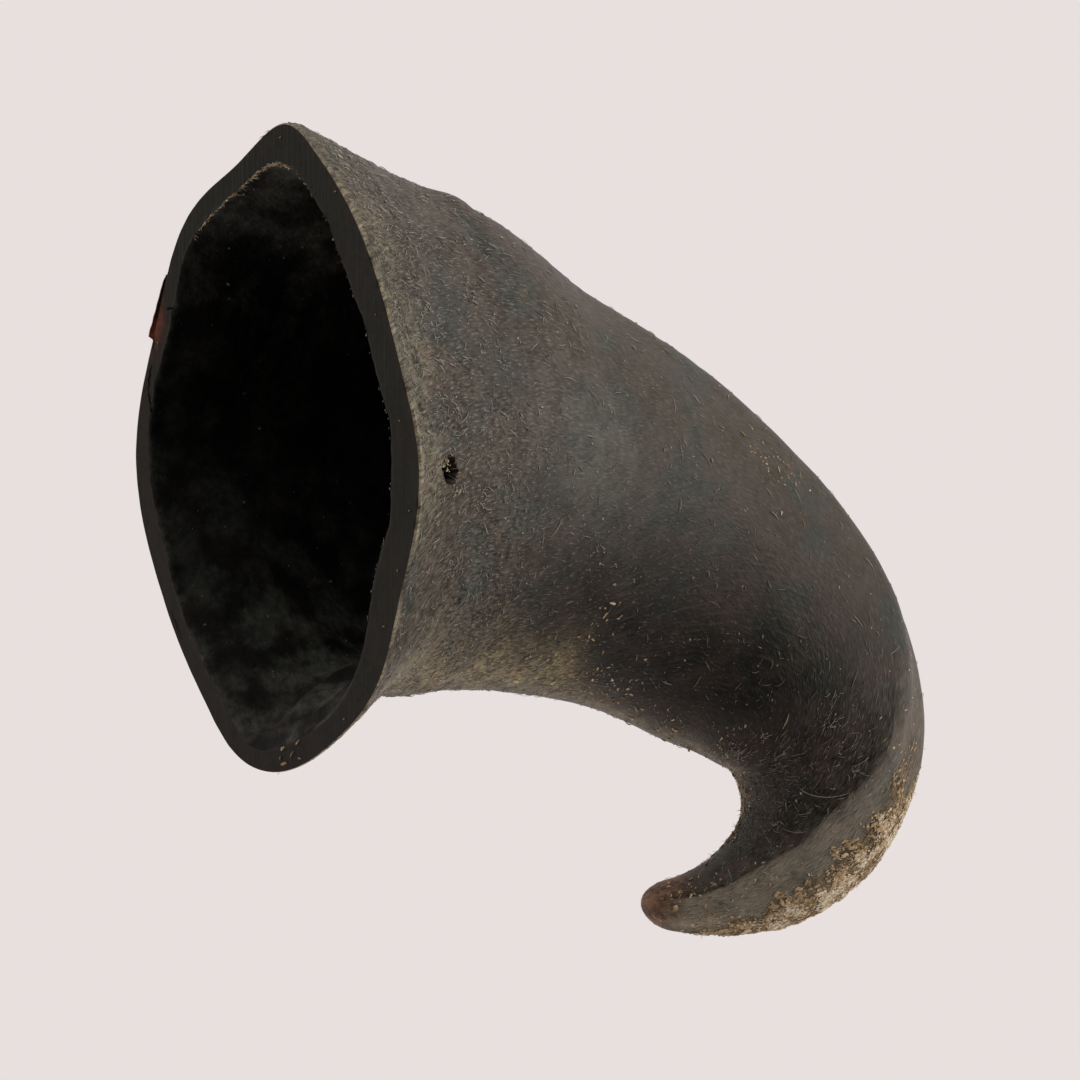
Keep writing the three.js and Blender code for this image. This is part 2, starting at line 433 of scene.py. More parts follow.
def make_piece(name, points, faces, material_list, smooth=True):
    """An object at the origin from points in the horn's axes and faces as arrays of indices."""
    mesh = bpy.data.meshes.new(name)
    mesh.from_pydata(lay(points).tolist(), [], sum((some.tolist() for some in faces), []))
    mesh.polygons.foreach_set("use_smooth", np.full(len(mesh.polygons), smooth))
    for material in material_list:
        mesh.materials.append(material)
    piece = bpy.data.objects.new(name, mesh)
    bpy.context.scene.collection.objects.link(piece)
    return piece


def belongs(piece):
    """The piece rides with the horn."""
    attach(piece, BODY)


def set_attribute(mesh, name, values):
    mesh.attributes.new(name, "FLOAT", "POINT").data.foreach_set("value", np.asarray(values, np.float32))


def set_uv(mesh, name, corners):
    mesh.uv_layers.new(name=name).data.foreach_set("uv", np.asarray(corners, np.float32).ravel())


def tubes(paths, radii, sides, normals):
    """Closed tubes along many paths at once. paths is fibres x stops x 3, radii fibres x stops. Each
    stop's ring lies in the plane of the surface normal and the direction across the path."""
    fibres, stops = radii.shape
    forward = unit(np.gradient(paths, axis=1))
    across = unit(np.cross(forward, normals))
    up = np.cross(across, forward)
    angle = 2 * np.pi * np.arange(sides) / sides
    spoke = across[:, :, None] * np.cos(angle)[:, None] + up[:, :, None] * np.sin(angle)[:, None]
    points = (paths[:, :, None] + spoke * radii[:, :, None, None]).reshape(-1, 3)
    index = np.arange(fibres * stops * sides).reshape(fibres, stops, sides)
    after = np.roll(index, -1, axis=2)
    quads = np.stack([index[:, :-1], index[:, 1:], after[:, 1:], after[:, :-1]], -1).reshape(-1, 4)
    return points, [quads, index[:, 0], index[:, -1, ::-1]]


GOLDEN = (1 + 5**0.5) / 2
GRAIN_POINTS = unit(np.array([
    (-1, GOLDEN, 0), (1, GOLDEN, 0), (-1, -GOLDEN, 0), (1, -GOLDEN, 0), (0, -1, GOLDEN), (0, 1, GOLDEN),
    (0, -1, -GOLDEN), (0, 1, -GOLDEN), (GOLDEN, 0, -1), (GOLDEN, 0, 1), (-GOLDEN, 0, -1), (-GOLDEN, 0, 1),
]))
GRAIN_FACES = np.array([
    (0, 11, 5), (0, 5, 1), (0, 1, 7), (0, 7, 10), (0, 10, 11), (1, 5, 9), (5, 11, 4), (11, 10, 2),
    (10, 7, 6), (7, 1, 8), (3, 9, 4), (3, 4, 2), (3, 2, 6), (3, 6, 8), (3, 8, 9), (4, 9, 5),
    (2, 4, 11), (6, 2, 10), (8, 6, 7), (9, 8, 1),
])


def grains(middles, axes, sizes, rng):
    """Many broken grains at once: an icosahedron's twelve points, each pulled in or out at random
    and stretched by the grain's three sizes along its three axes."""
    count = len(middles)
    pull = rng.uniform(0.62, 1.2, (count, 12, 1))
    local = GRAIN_POINTS * pull * sizes[:, None]
    points = middles[:, None] + np.einsum("gpa,gax->gpx", local, axes)
    faces = GRAIN_FACES + 12 * np.arange(count)[:, None, None]
    return points.reshape(-1, 3), [faces.reshape(-1, 3)]


def turned_axes(along, around, outward, degrees):
    """The surface's own directions turned about the outward one, as grains() takes them."""
    c, s = np.cos(np.radians(degrees))[:, None], np.sin(np.radians(degrees))[:, None]
    return np.stack([along * c + around * s, around * c - along * s, outward], axis=1)


def handed(axes):
    """The axes with the second one turned round where they would mirror a grain."""
    mirrored = np.linalg.det(axes) < 0
    axes[mirrored, 1] *= -1
    return axes


# ------------------------------------------------------------------------------------- materials

METRE = 1000.0  # in millimetres: a pattern's scale is METRE over the width of its lumps
TINT = {"data_type": "RGBA", "clamp_factor": True}
SHADE = {**TINT, "blend_type": "MULTIPLY"}
SOFT = {"interpolation_type": "SMOOTHSTEP"}
TIMES = {"operation": "MULTIPLY"}
PLUS = {"operation": "ADD"}
KERATIN_IOR = 1.54


def add(tree, kind, *inputs, out=None, named=None, **settings):
    """Adds a node with its settings, fills its inputs in order and by name, linking a socket and
    setting anything else, and gives the output named, or the first."""
    made = tree.nodes.new("ShaderNode" + kind)
    for name, value in settings.items():
        setattr(made, name, value)
    ports = [port for port in made.inputs if port.enabled]
    by_name = [(made.inputs[name], value) for name, value in (named or {}).items()]
    for port, value in [*zip(ports, inputs), *by_name]:
        if isinstance(value, bpy.types.NodeSocket):
            tree.links.new(value, port)
        else:
            port.default_value = value
    outputs = [port for port in made.outputs if port.enabled]
    return made.outputs[out] if out else next(iter(outputs), None)


def new_material(name):
    """An empty material, and add() for its own tree."""
    material = bpy.data.materials.new(name)
    material.use_nodes = True
    material.node_tree.nodes.clear()
    return material, partial(add, material.node_tree)


def broken(node, name, pattern, low, high, least=0.0, most=1.0):
    """A field painted on the mesh, times the pattern's place between low and high."""
    field = node("Attribute", out="Fac", attribute_name=name)
    return node("Math", field, node("MapRange", pattern, low, high, least, most, **SOFT), **TIMES)


def strands(node, width_mm, length_mm, lean=0.0, detail=2.0, roughness=0.5):
    """Noise drawn out on the grain map: strands this wide and this long, leaning this many degrees
    from the horn's own direction towards the keel."""
    grain = node("UVMap", uv_map="grain")
    size = (width_mm * MM, length_mm * MM, 1)
    drawn = node("Mapping", grain, (0, 0, 0), (0, 0, -math.radians(lean)), size, vector_type="TEXTURE")
    return node("TexNoise", drawn, 1.0, detail, roughness)


def tinted(node, colour, rows):
    """Lays tints over a colour one after another. A row is a field, the pattern that breaks it up,
    the pattern's low and high, the tint's share at each, and the tint."""
    for name, pattern, low, high, least, most, tint in rows:
        colour = node("Mix", broken(node, name, pattern, low, high, least, most), colour, tint, **TINT)
    return colour


def finish(node, colour, roughness, height, bump_mm, specular):
    """Ends a material: the colour and roughness, and a bump whose height is bump_mm from 0 to 1."""
    bump = node("Bump", named={"Height": height, "Distance": bump_mm * MM, "Strength": 1.0})
    surface = {"Base Color": colour, "Roughness": roughness, "IOR": KERATIN_IOR, "Normal": bump}
    shader = node("BsdfPrincipled", named={**surface, "Specular IOR Level": specular})
    node("OutputMaterial", shader)


def raw_horn(look):
    """Raw horn, worn by rubbing but never polished: satin keratin, brown-black with a green-grey cast,
    drawn out in fine strands along its growth and mottled where it has worn. The finest strands are drawn
    coarser than real ones, which are too fine to show. Its colour also holds painted light: painted shade
    on the dark side, a painted sheen on the near flank, and crust and band laid paler as if lit."""
    material, node = new_material("raw_buffalo_horn")
    here = node("TexCoord", out="Object")
    broad = node("TexNoise", here, METRE / 11, 3.0, 0.45)
    middling = node("TexNoise", here, METRE / 4.5, 3.0, 0.6)
    mottle = strands(node, 0.6, 2.2, 14, 3.0, 0.65)
    grit = strands(node, 0.24, 1.1, 14, 2.0, 0.6)
    clots = node("TexNoise", here, METRE / 1.7, 3.0, 0.65)
    flakes = node("TexNoise", here, METRE / 0.6, 3.0, 0.7)
    strand = strands(node, 0.5, 6, 42)
    hairline = strands(node, 0.3, 2.6, 20)
    green = node("MapRange", broad, 0.48, 0.58, 0.0, 0.9, **SOFT)
    green = node("Math", green, broken(node, "green", middling, 0.2, 0.5, 0.6, 1.0), operation="MAXIMUM")
    colour = node("Mix", green, look.flank, look.green_cast, **TINT)
    brown = node("MapRange", middling, 0.5, 0.7, 0.0, 0.7, **SOFT)
    colour = node("Mix", brown, colour, look.brown_cast, **TINT)
    # Painted shade for the dark field: near black, reddish where the horn has its own maroon patches
    reddish = node("MapRange", middling, 0.44, 0.6, 0.0, 1.0, **SOFT)
    shadow = node("Mix", reddish, look.dark_clots_and_shade, look.painted_shade_red, **TINT)
    colour = tinted(node, colour, (
        # Painted highlight: the lights' soft sheen on the near flank, laid on as a paler colour
        ("rubbed", middling, 0.3, 0.6, 0.6, 1.0, look.rubbed),
        ("dark", middling, 0.2, 0.8, 1.0, 0.75, shadow),
        ("belly", mottle, 0.35, 0.65, 0.45, 1.0, look.belly),
        ("belly", clots, 0.47, 0.36, 0.0, 0.6, look.dark_clots_and_shade),
        ("belly", flakes, 0.55, 0.66, 0.0, 0.6, look.crust),
        # The band's grey is its own, but it is laid paler as painted light on the hook's outer side
        ("band", mottle, 0.2, 0.8, 0.7, 1.0, look.band),
        ("tip", clots, 0.3, 0.62, 0.35, 1.0, look.tip),
        ("scraped", mottle, 0.3, 0.6, 0.3, 1.0, look.scraped),
        ("crust", clots, 0.34, 0.54, 0.0, 1.0, look.crust_dark),
        # Painted light from below: the crust's surface paler outside its edge
        ("dry", flakes, 0.42, 0.6, 0.1, 0.9, look.crust),
    ))
    # Wear darkens and lightens the horn: each pattern's low and high, and what they add to 1
    depth = 1.0
    for pattern, low, high, least, most in (
        (mottle, 0.3, 0.7, -0.3, 0.38), (clots, 0.35, 0.65, -0.2, 0.2),
        (middling, 0.35, 0.65, -0.22, 0.22), (grit, 0.3, 0.7, -0.5, 0.8),
    ):
        depth = node("Math", depth, broken(node, "worn", pattern, low, high, least, most), **PLUS)
    colour = tinted(node, node("Mix", 1.0, colour, depth, **SHADE), (
        ("streaks", strand, 0.5, 0.75, 0.0, 0.3, look.streak),
        ("flecks", grit, 0.6, 0.72, 0.0, 0.85, look.fleck),
        ("flecks", hairline, 0.63, 0.74, 0.0, 0.6, look.fleck),
        # Painted shade: near black laid into the insect hole
        ("bore", mottle, 0.0, 0.4, 0.9, 1.0, look.bore),
    ))
    satin = node("Math", mottle, 0.2, 0.36, operation="MULTIPLY_ADD")
    rough = node("Math", satin, broken(node, "crust", clots, 0.3, 0.5, 0.4, 0.85), operation="MAXIMUM")
    height = node("Math", node("Math", mottle, 0.7, **TIMES), node("Math", grit, 0.35, **TIMES), **PLUS)
    height = node("Math", height, broken(node, "streaks", strand, 0.2, 0.8, 0.0, 0.3), **PLUS)
    height = node("Math", height, broken(node, "crust", flakes, 0.2, 0.8, 0.0, 2.0), **PLUS)
    finish(node, colour, rough, height, look.grain_height / MM, 0.13)
    return material


def sawn_horn(look):
    """Horn cut across with a saw: dull, close and dark, ruled with the blade's fine parallel lines."""
    material, node = new_material("sawn_horn")
    here = node("TexCoord", out="Object")
    ruled = strands(node, 0.55, 40, 0, 3.0)
    soft = node("TexNoise", here, METRE / 9, 2.0)
    mottle = node("TexNoise", here, METRE / 0.9, 3.0, 0.6)
    reddish = node("MapRange", soft, 0.4, 0.6, 0.0, 0.45, **SOFT)
    colour = tinted(node, node("Mix", reddish, look.face, look.face_red, **TINT), (
        ("warm", mottle, 0.3, 0.7, 0.5, 1.0, look.face_red),
        ("stain", mottle, 0.3, 0.7, 0.7, 1.0, look.flake),
    ))
    lines = broken(node, "lines", ruled, 0.42, 0.68, 0.0, 0.75)
    colour = node("Mix", lines, colour, look.saw_line, **TINT)
    # Painted highlight along the rim's inner edge
    colour = tinted(node, colour, [("pale_edge", mottle, 0.35, 0.6, 0.3, 1.0, look.hollow_dust_and_highlight)])
    colour = node("Mix", 1.0, colour, node("MapRange", mottle, 0.3, 0.7, 0.82, 1.15, **SOFT), **SHADE)
    height = node("Math", node("Math", lines, 1.2, **TIMES), node("Math", mottle, 0.5, **TIMES), **PLUS)
    finish(node, colour, 0.65, height, 0.08, 0.2)
    return material


def hollow_lining(look):
    """The hollow's wall, where the bony core sat: dull, crumbly and nearly black, partly its own colour
    and partly painted shade in the recess.
    """
    material, node = new_material("hollow_lining")
    here = node("TexCoord", out="Object")
    soft = node("TexNoise", here, METRE / 7, 3.0, 0.6)
    mottle = node("TexNoise", here, METRE / 1.3, 4.0, 0.7)
    brown = node("MapRange", soft, 0.4, 0.65, 0.0, 1.0, **SOFT)
    colour = node("Mix", brown, look.hollow, look.hollow_brown, **TINT)
    blotch = node("TexNoise", here, METRE / 5.5, 3.0, 0.5)
    # Dust in the hollow, and painted light on its lit side and along its folds
    colour = node("Mix", broken(node, "dusty", blotch, 0.38, 0.66), colour, look.hollow_dust_and_highlight, **TINT)
    colour = node("Mix", 1.0, colour, node("MapRange", mottle, 0.35, 0.65, 0.65, 1.4, **SOFT), **SHADE)
    height = node("Math", node("Math", soft, 1.5, **TIMES), mottle, **PLUS)
    finish(node, colour, 0.75, height, 0.35, 0.25)
    return material


def toned(name, tones, roughness):
    """Dull and uneven: each grain or fibre has a tone of its own, between three colours."""
    material, node = new_material(name)
    here = node("TexCoord", out="Object")
    tone = node("Attribute", out="Fac", attribute_name="tone")
    colour = node("Mix", node("MapRange", tone, 0.1, 0.5, 0.0, 1.0, **SOFT), tones[0], tones[1], **TINT)
    colour = node("Mix", node("MapRange", tone, 0.5, 0.95, 0.0, 1.0, **SOFT), colour, tones[2], **TINT)
    grain = node("TexNoise", here, METRE / 0.25, 2.0)
    colour = node("Mix", 1.0, colour, node("MapRange", grain, 0.3, 0.7, 0.8, 1.15, **SOFT), **SHADE)
    finish(node, colour, roughness, grain, 0.03, 0.3)
    return material


def peeling_horn(look):
    """A thin sheet of horn that has dried and lifted: dark, and reddish where it is thin enough for
    the light to come through it."""
    material, node = new_material("peeling_horn_flake")
    here = node("TexCoord", out="Object")
    mottle = node("TexNoise", here, METRE / 1.4, 3.0)
    colour = node("Mix", broken(node, "red", mottle, 0.3, 0.5, 0.5, 1.0), look.flake_dark, look.flake, **TINT)
    finish(node, colour, 0.5, mottle, 0.1, 0.4)
    return material


def crack_shadow(look):
    """A drying crack, too narrow for light to reach into: dull and black."""
    material, node = new_material("crack_shadow")
    here = node("TexCoord", out="Object")
    depth = node("TexNoise", here, METRE / 0.5, 2.0)
    finish(node, node("Mix", depth, look.bore, look.hollow, **TINT), 0.9, depth, 0.05, 0.1)
    return material


# ----------------------------------------------------------------------------------- the sheath

GRAIN_GIRTH = 160.0  # how far round the horn is on its grain map, all the way along


def spread(low, high, count, density):
    """count places from low to high, closer together where the density is higher."""
    fine = np.linspace(low, high, 6000)
    total = np.cumsum(density(fine))
    return np.interp(np.linspace(total[0], total[-1], count), total, fine)


def column_density(u):
    return 1 + 0.8 * bell(angle_from(u, 20) / 75) + 4 * bell(angle_from(u, BORE[1]) / 3.5)


def row_density(s):
    return 1 + 0.7 * bell((s - 122) / 24) + 1.2 * bell(s / 9) + 3 * bell((s - BORE[0]) / 2)


def inner_row_density(s):
    return 1 + 3 * np.exp(-s / 5)


def sheath_colour_fields(s, u, points):
    """Where the outer wall carries painted shade (dark), a painted sheen, olive, crust, painted light from
    below on the crust, a partly painted pale band and so on: each from 0 to 1, apart from worn and flecks,
    which go a little further."""
    rough = lumps(points, 6, 21) + 0.5 * lumps(points, 2.4, 22)
    # dark is painted shade where the near flank and the inside of the hook turn away from the lights
    from_dark = angle_from(u, line(PAINTED_SHADE_LINE, s))
    reach = np.where(from_dark > 0, mix(34, 42, ease((s - 85) / 12)), mix(30, 50, ease((s - 50) / 20)))
    dark = bell(from_dark / reach) * ease((s - 8) / 46) * ease((136 - s) / 28)
    dark = dark * (1 - 0.25 * patch(s, u, 95, 24, 12, 30) - 0.2 * patch(s, u, 74, 0, 10, 16))
    # Painted shade in the step just under the growth ledge
    shade_below_ledge = bell((s - growth_ledge(u) - 1.3) / 1.2) * ease((u - 42) / 10) * ease((84 - u) / 10)
    dark = np.clip(dark + 0.3 * shade_below_ledge + 0.35 * patch(s, u, 106, -32, 12, 26), 0, 1)
    narrow = ease((s - 56) / 12) * ease((112 - s) / 10)
    belly = bell((angle_from(u, line(BELLY_LINE, s)) + mix(9, 3, narrow) * rough) / mix(17, 8, narrow))
    belly = belly * ease((s + 4) / 12) * ease((132 - s) / 14) * (1 - 0.35 * ease((s - 64) / 26))
    from_ridge = angle_from(u, line(KEEL_RIDGE, s))
    # The band: its own grey, made paler as painted light on the hook's outer side
    band = ease((from_ridge + 2) / 3) * ease((176 - u) / 30) * ease((s - 94) / 12) * ease((151 - s) / 4)
    crust = crust_share(s, u)
    worn = 0.32 + 0.34 * ease((46 - s) / 30) + 0.7 * belly + 0.4 * patch(s, u, 32, -40, 24, 26)
    worn = worn + 0.75 * ease((s - 98) / 14) * (1 - 0.55 * band) + 0.4 * crust - 0.2 * dark
    tip = ease((s + 2.4 * rough - 144 - 0.03 * angle_from(u, 87)) / 6)
    scraped = 0.9 * ease((0.85 + 0.6 * rough - s) / 0.8)
    scraped = scraped + 0.4 * ease((8 + 3 * rough - s) / 6) * ease((u + 30) / 20)
    scraped = scraped * ease((u + 105) / 20) * ease((106 - u) / 12) * (1 - 0.4 * ease((u - 40) / 20))
    streaks = 0.25 + patches(s, u, (0.65, 78, 5, 30, 45), (0.6, 42, 5, 18, 50))
    # Painted highlight: the lights' soft sheen on the near flank, mostly in the first spot
    rubbed = patches(
        s, u, (1, 41, 14, 13, 24), (0.3, 64, 48, 14, 24), (0.25, 22, -25, 12, 20), (0.3, 12, 45, 12, 30)
    )
    green = patches(
        s, u, (1, 14.5, 35, 3.5, 14), (0.9, 21, 23, 4, 7), (0.8, 12.7, 5, 2.6, 5), (0.8, 33, -1, 6, 7)
    )
    flecks = 0.35 + 0.75 * bell(s / 26) + 0.25 * ease((60 - s) / 30) + 0.3 * band
    flecks = flecks + patches(
        s, u, (0.75, 122, 36, 18, 50), (0.5, 40, -45, 20, 26), (0.4, 124, 8, 12, 26), (0.7, 131, 34, 13, 38)
    )
    return {
        "green": np.clip(green, 0, 1),
        "dark": dark,
        "belly": belly,
        "band": band * line(BAND_STRENGTH, s),
        "rubbed": np.clip(rubbed, 0, 1),
        "tip": tip,
        "scraped": np.clip(scraped, 0, 1),
        "crust": crust,
        # Painted light from below: the crust paler further outside its edge
        "dry": crust * ease((beyond_crust_edge(s, u) - 6) / 20),
        "streaks": np.clip(streaks, 0, 1),
        "worn": np.clip(worn - 0.25 * green, 0, 1.3),
        "flecks": np.clip(flecks, 0, 1.5),
        # Painted shade: where the near black is laid into the insect hole
        "bore": ease(bore_shape(s, u, points) * 1.6 - 0.25),
    }


def face_point(u, share):
    """A place on the sawn face, from its outer edge at share 0 to its inner edge at 1."""
    mouth = np.zeros_like(u)
    place_on = mix(skin(mouth, u), inner_skin(mouth, u), np.asarray(share)[..., None])
    place_on[..., 0] = 0
    return place_on


def build_sheath(shape, look):
    """The horn as one closed grid: from the tip's pole down the outer wall, over the sawn edge,
    across the face and up the hollow's wall to its end, with the same columns all the way."""
    u = spread(-180, 180, shape.columns + 1, column_density)[:-1]
    cap = LENGTH - TIP_CAP + TIP_CAP * np.sin(np.radians(np.array([86, 78, 68, 56, 44, 32, 20, 9])))
    edge_break = shape.edge_break / MM
    outer_s = np.concatenate([cap, spread(edge_break, LENGTH - TIP_CAP, shape.rows, row_density)[::-1]])
    end_angles = np.radians(np.array([0, 15, 30, 45, 60, 72, 84]))
    end_cap = CAVITY_DEPTH - CAVITY_CAP + CAVITY_CAP * np.sin(end_angles)
    before_cap = spread(0.3, CAVITY_DEPTH - CAVITY_CAP - 1.5, shape.inner_rows, inner_row_density)
    inner_s = np.concatenate([before_cap, end_cap])
    outer = skin(*np.meshgrid(outer_s, u, indexing="ij"))
    inner = inner_skin(*np.meshgrid(inner_s, u, indexing="ij"))
    mouth = np.zeros_like(u)
    wall = np.linalg.norm(skin(mouth, u) - inner_skin(mouth, u), axis=-1)
    edge = edge_break / wall
    between = [mix(edge, 1 - edge, t) for t in (0.1, 0.25, 0.4, 0.55, 0.7, 0.82, 0.92)]
    face_share = np.stack([edge, *between, 1 - edge])
    face = np.stack([face_point(u, share) for share in face_share])
    face[..., 0] += 0.04 * lumps(face, 1.6, 31)
    grid = np.concatenate([outer, face, inner])
    tip_pole, end_pole = (spline(STATIONS[:, :4], np.array(s)) for s in (LENGTH, CAVITY_DEPTH))
    points = np.concatenate([grid.reshape(-1, 3), tip_pole[None], end_pole[None]])
    rows, columns = grid.shape[:2]
    index = np.arange(rows * columns).reshape(rows, columns)
    after = np.roll(index, -1, axis=1)
    quads = np.stack([index[:-1], after[:-1], after[1:], index[1:]], -1).reshape(-1, 4)
    tip_fan = np.stack([np.full(columns, rows * columns), after[0], index[0]], -1)
    end_fan = np.stack([np.full(columns, rows * columns + 1), index[-1], after[-1]], -1)
    on_wall, on_face, in_hollow = range(3)
    slots = np.full(rows - 1, on_wall)
    slots[len(outer_s):] = on_face
    slots[len(outer_s) + len(face) - 1:] = in_hollow
    fan_slots = [np.full(columns, on_wall), np.full(columns, in_hollow)]
    slots = np.concatenate([np.repeat(slots, columns), *fan_slots])
    finishes = [raw_horn(look), sawn_horn(look), hollow_lining(look)]
    piece = make_piece("horn", points, [quads, tip_fan, end_fan], finishes)
    mesh = piece.data
    mesh.polygons.foreach_set("material_index", slots.astype(np.int32))
    mesh.set_sharp_from_angle(angle=math.radians(50))

    row_s = np.concatenate([outer_s, np.zeros(len(face)), inner_s])
    every_s = np.concatenate([np.repeat(row_s, columns), [LENGTH, CAVITY_DEPTH]])
    every_u = np.concatenate([np.tile(u, rows), [0, 0]])
    is_outer = np.concatenate([np.repeat(np.arange(rows) <= len(outer_s), columns), [True, False]])
    for name, values in sheath_colour_fields(every_s, every_u, points).items():
        set_attribute(mesh, name, np.where(is_outer, values, 0))
    outer_share, inner_share = np.zeros(len(outer_s) * columns), np.ones(len(inner_s) * columns)
    share = np.concatenate([outer_share, face_share.ravel(), inner_share, [0, 1]])
    border = 0.8 * ease((0.3 - share) / 0.16) * (every_s < 0.5)
    set_attribute(mesh, "warm", np.maximum(ease((88 - np.abs(angle_from(every_u, -127))) / 24), border))
    set_attribute(mesh, "lines", 0.2 + 0.5 * bell(angle_from(every_u, 106) / 42))
    # Painted highlight: a pale line along the rim's inner edge, where the rounded edge catches the light
    inner_row = ease((share - 0.8) / 0.12)
    pale = bell(angle_from(every_u, 143) / 22) + 0.7 * bell(angle_from(every_u, -145) / 34)
    set_attribute(mesh, "pale_edge", inner_row * np.clip(pale, 0, 1) * (every_s < 0.5))
    set_attribute(mesh, "stain", 0.8 * patch(9 * share, every_u, 1.2, 155.5, 3.4, 4))
    # Partly dust, partly painted light: paler on the belly side where light falls into the hollow, the rim's
    # painted edge highlight carried onto the wall, and painted highlights on each fold's lit side
    dusty = 0.3 + 0.9 * bell(angle_from(every_u, -100) / 45) + 0.8 * patch(every_s, every_u, 10, 120, 24, 34)
    dusty = dusty + 1.2 * pale * bell(every_s / 0.5)
    for middle, slant, _, width in FOLDS:
        beside_fold = angle_from(every_u, middle + slant * every_s - width)
        dusty = dusty + 0.9 * bell(beside_fold / 2) * ease((9 - every_s) / 5)
    set_attribute(mesh, "dusty", np.clip(dusty, 0, 1) * ease((60 - every_s) / 40))

    # Where each row and column lies on the two maps; the last column ends a full turn on. The grain
    # map is in metres, and the bake's map has a band each for the wall, the hollow and the face
    turn = np.append(u, u[0] + 360)
    column = np.arange(columns)
    corner_column = np.concatenate([
        np.tile(np.stack([column, column + 1, column + 1, column], -1), (rows - 1, 1)).ravel(),
        np.stack([column, column + 1, column], -1).ravel(),
        np.stack([column, column, column + 1], -1).ravel(),
    ])
    corner_row = np.concatenate([
        np.repeat(np.arange(rows - 1), 4 * columns) + np.tile([0, 0, 1, 1], (rows - 1) * columns),
        np.tile([-1, 0, 0], columns),
        np.tile([rows, rows - 1, rows - 1], columns),
    ])
    corner_slot = np.concatenate([np.repeat(slots[:len(quads)], 4), np.repeat(slots[len(quads):], 3)])
    padded_s = np.concatenate([row_s, [CAVITY_DEPTH, LENGTH]])
    corner_s = padded_s[corner_row]
    corner_turn = turn[corner_column]
    vertex = np.concatenate([quads.ravel(), tip_fan.ravel(), end_fan.ravel()])
    grain = np.stack([corner_turn / 360 * GRAIN_GIRTH * MM, corner_s * MM], -1)
    grain[corner_slot == on_face] = points[vertex[corner_slot == on_face]][:, 1:] * MM
    across = np.clip((corner_row - len(outer_s)) / (len(face) - 1), 0, 1)
    heights = [0.64 - 0.62 * corner_s / LENGTH, 0.88 + 0.1 * across, 0.66 + 0.2 * corner_s / CAVITY_DEPTH]
    height = np.choose(corner_slot, heights)
    set_uv(mesh, "OFBake", np.stack([0.005 + 0.99 * (corner_turn + 180) / 360, height], -1))
    set_uv(mesh, "grain", grain)
    return piece


# ------------------------------------------------------------------------------ litter on the horn


def strewn(count, rng, density, low=1.0, high=151.0):
    """Random places on the outer wall, as many a square millimetre as the density says: of 60 tries
    for each place, those are kept that a second draw puts under the girth times the density."""
    tries = 60 * count
    s, u = rng.uniform(low, high, tries), rng.uniform(-180, 180, tries)
    girth = spline(STATIONS[:, [0, 4, 6]], s).mean(axis=-1) / STATIONS[0, 4]
    kept = np.nonzero(rng.random(tries) < girth * density(s, u))[0][:count]
    return s[kept], u[kept]


def strolls(wall, s, u, heading, lengths, curl, stops, end):
    """Curved paths on a wall from (s, u): equal steps whose heading, from the direction of s, turns
    steadily by curl radians over the whole length. Returns s and u of every stop."""
    t = np.linspace(0, 1, stops)
    angle = heading[:, None] + curl[:, None] * t
    step = lengths[:, None] / (stops - 1)
    degree = np.linalg.norm(wall(s, u + 0.5) - wall(s, u - 0.5), axis=-1)
    degree = np.maximum(degree, 0.02)[:, None]

    def walked(steps):
        return np.concatenate([np.zeros((len(s), 1)), np.cumsum(steps[:, 1:], axis=1)], axis=1)

    path_s = np.clip(s[:, None] + walked(np.cos(angle) * step), 0.02, end - 0.3)
    return path_s, u[:, None] + walked(np.sin(angle) * step / degree)


def lying_fibres(s, u, heading, lengths, curl, width, lift, stops=5, sides=3):
    """Tapered fibres on the outer wall, bowed up in their middle by lift."""
    path_s, path_u = strolls(flank, s, u, heading, lengths, curl, stops, LENGTH)
    _, _, outward = directions(flank, path_s, path_u, LENGTH)
    t = np.linspace(0, 1, stops)
    bow = np.sin(np.pi * t) * lift[:, None] + width[:, None] * 0.35
    paths = skin(path_s, path_u) + outward * bow[..., None]
    radii = width[:, None] / 2 * (0.35 + 0.65 * np.sin(np.pi * np.clip(t, 0.06, 0.94)))
    return tubes(paths, radii, sides, outward)


def joined(name, parts, material, smooth=True):
    """One piece of several (points, faces, tones), with a tone for each of their fibres or grains."""
    points, faces, tones, start = [], [], [], 0
    for part_points, part_faces, part_tones in parts:
        points.append(part_points)
        faces += [some + start for some in part_faces]
        tones.append(np.repeat(part_tones, len(part_points) // len(part_tones)))
        start += len(part_points)
    piece = make_piece(name, np.concatenate(points), faces, [material], smooth)
    set_attribute(piece.data, "tone", np.concatenate(tones))
    return piece


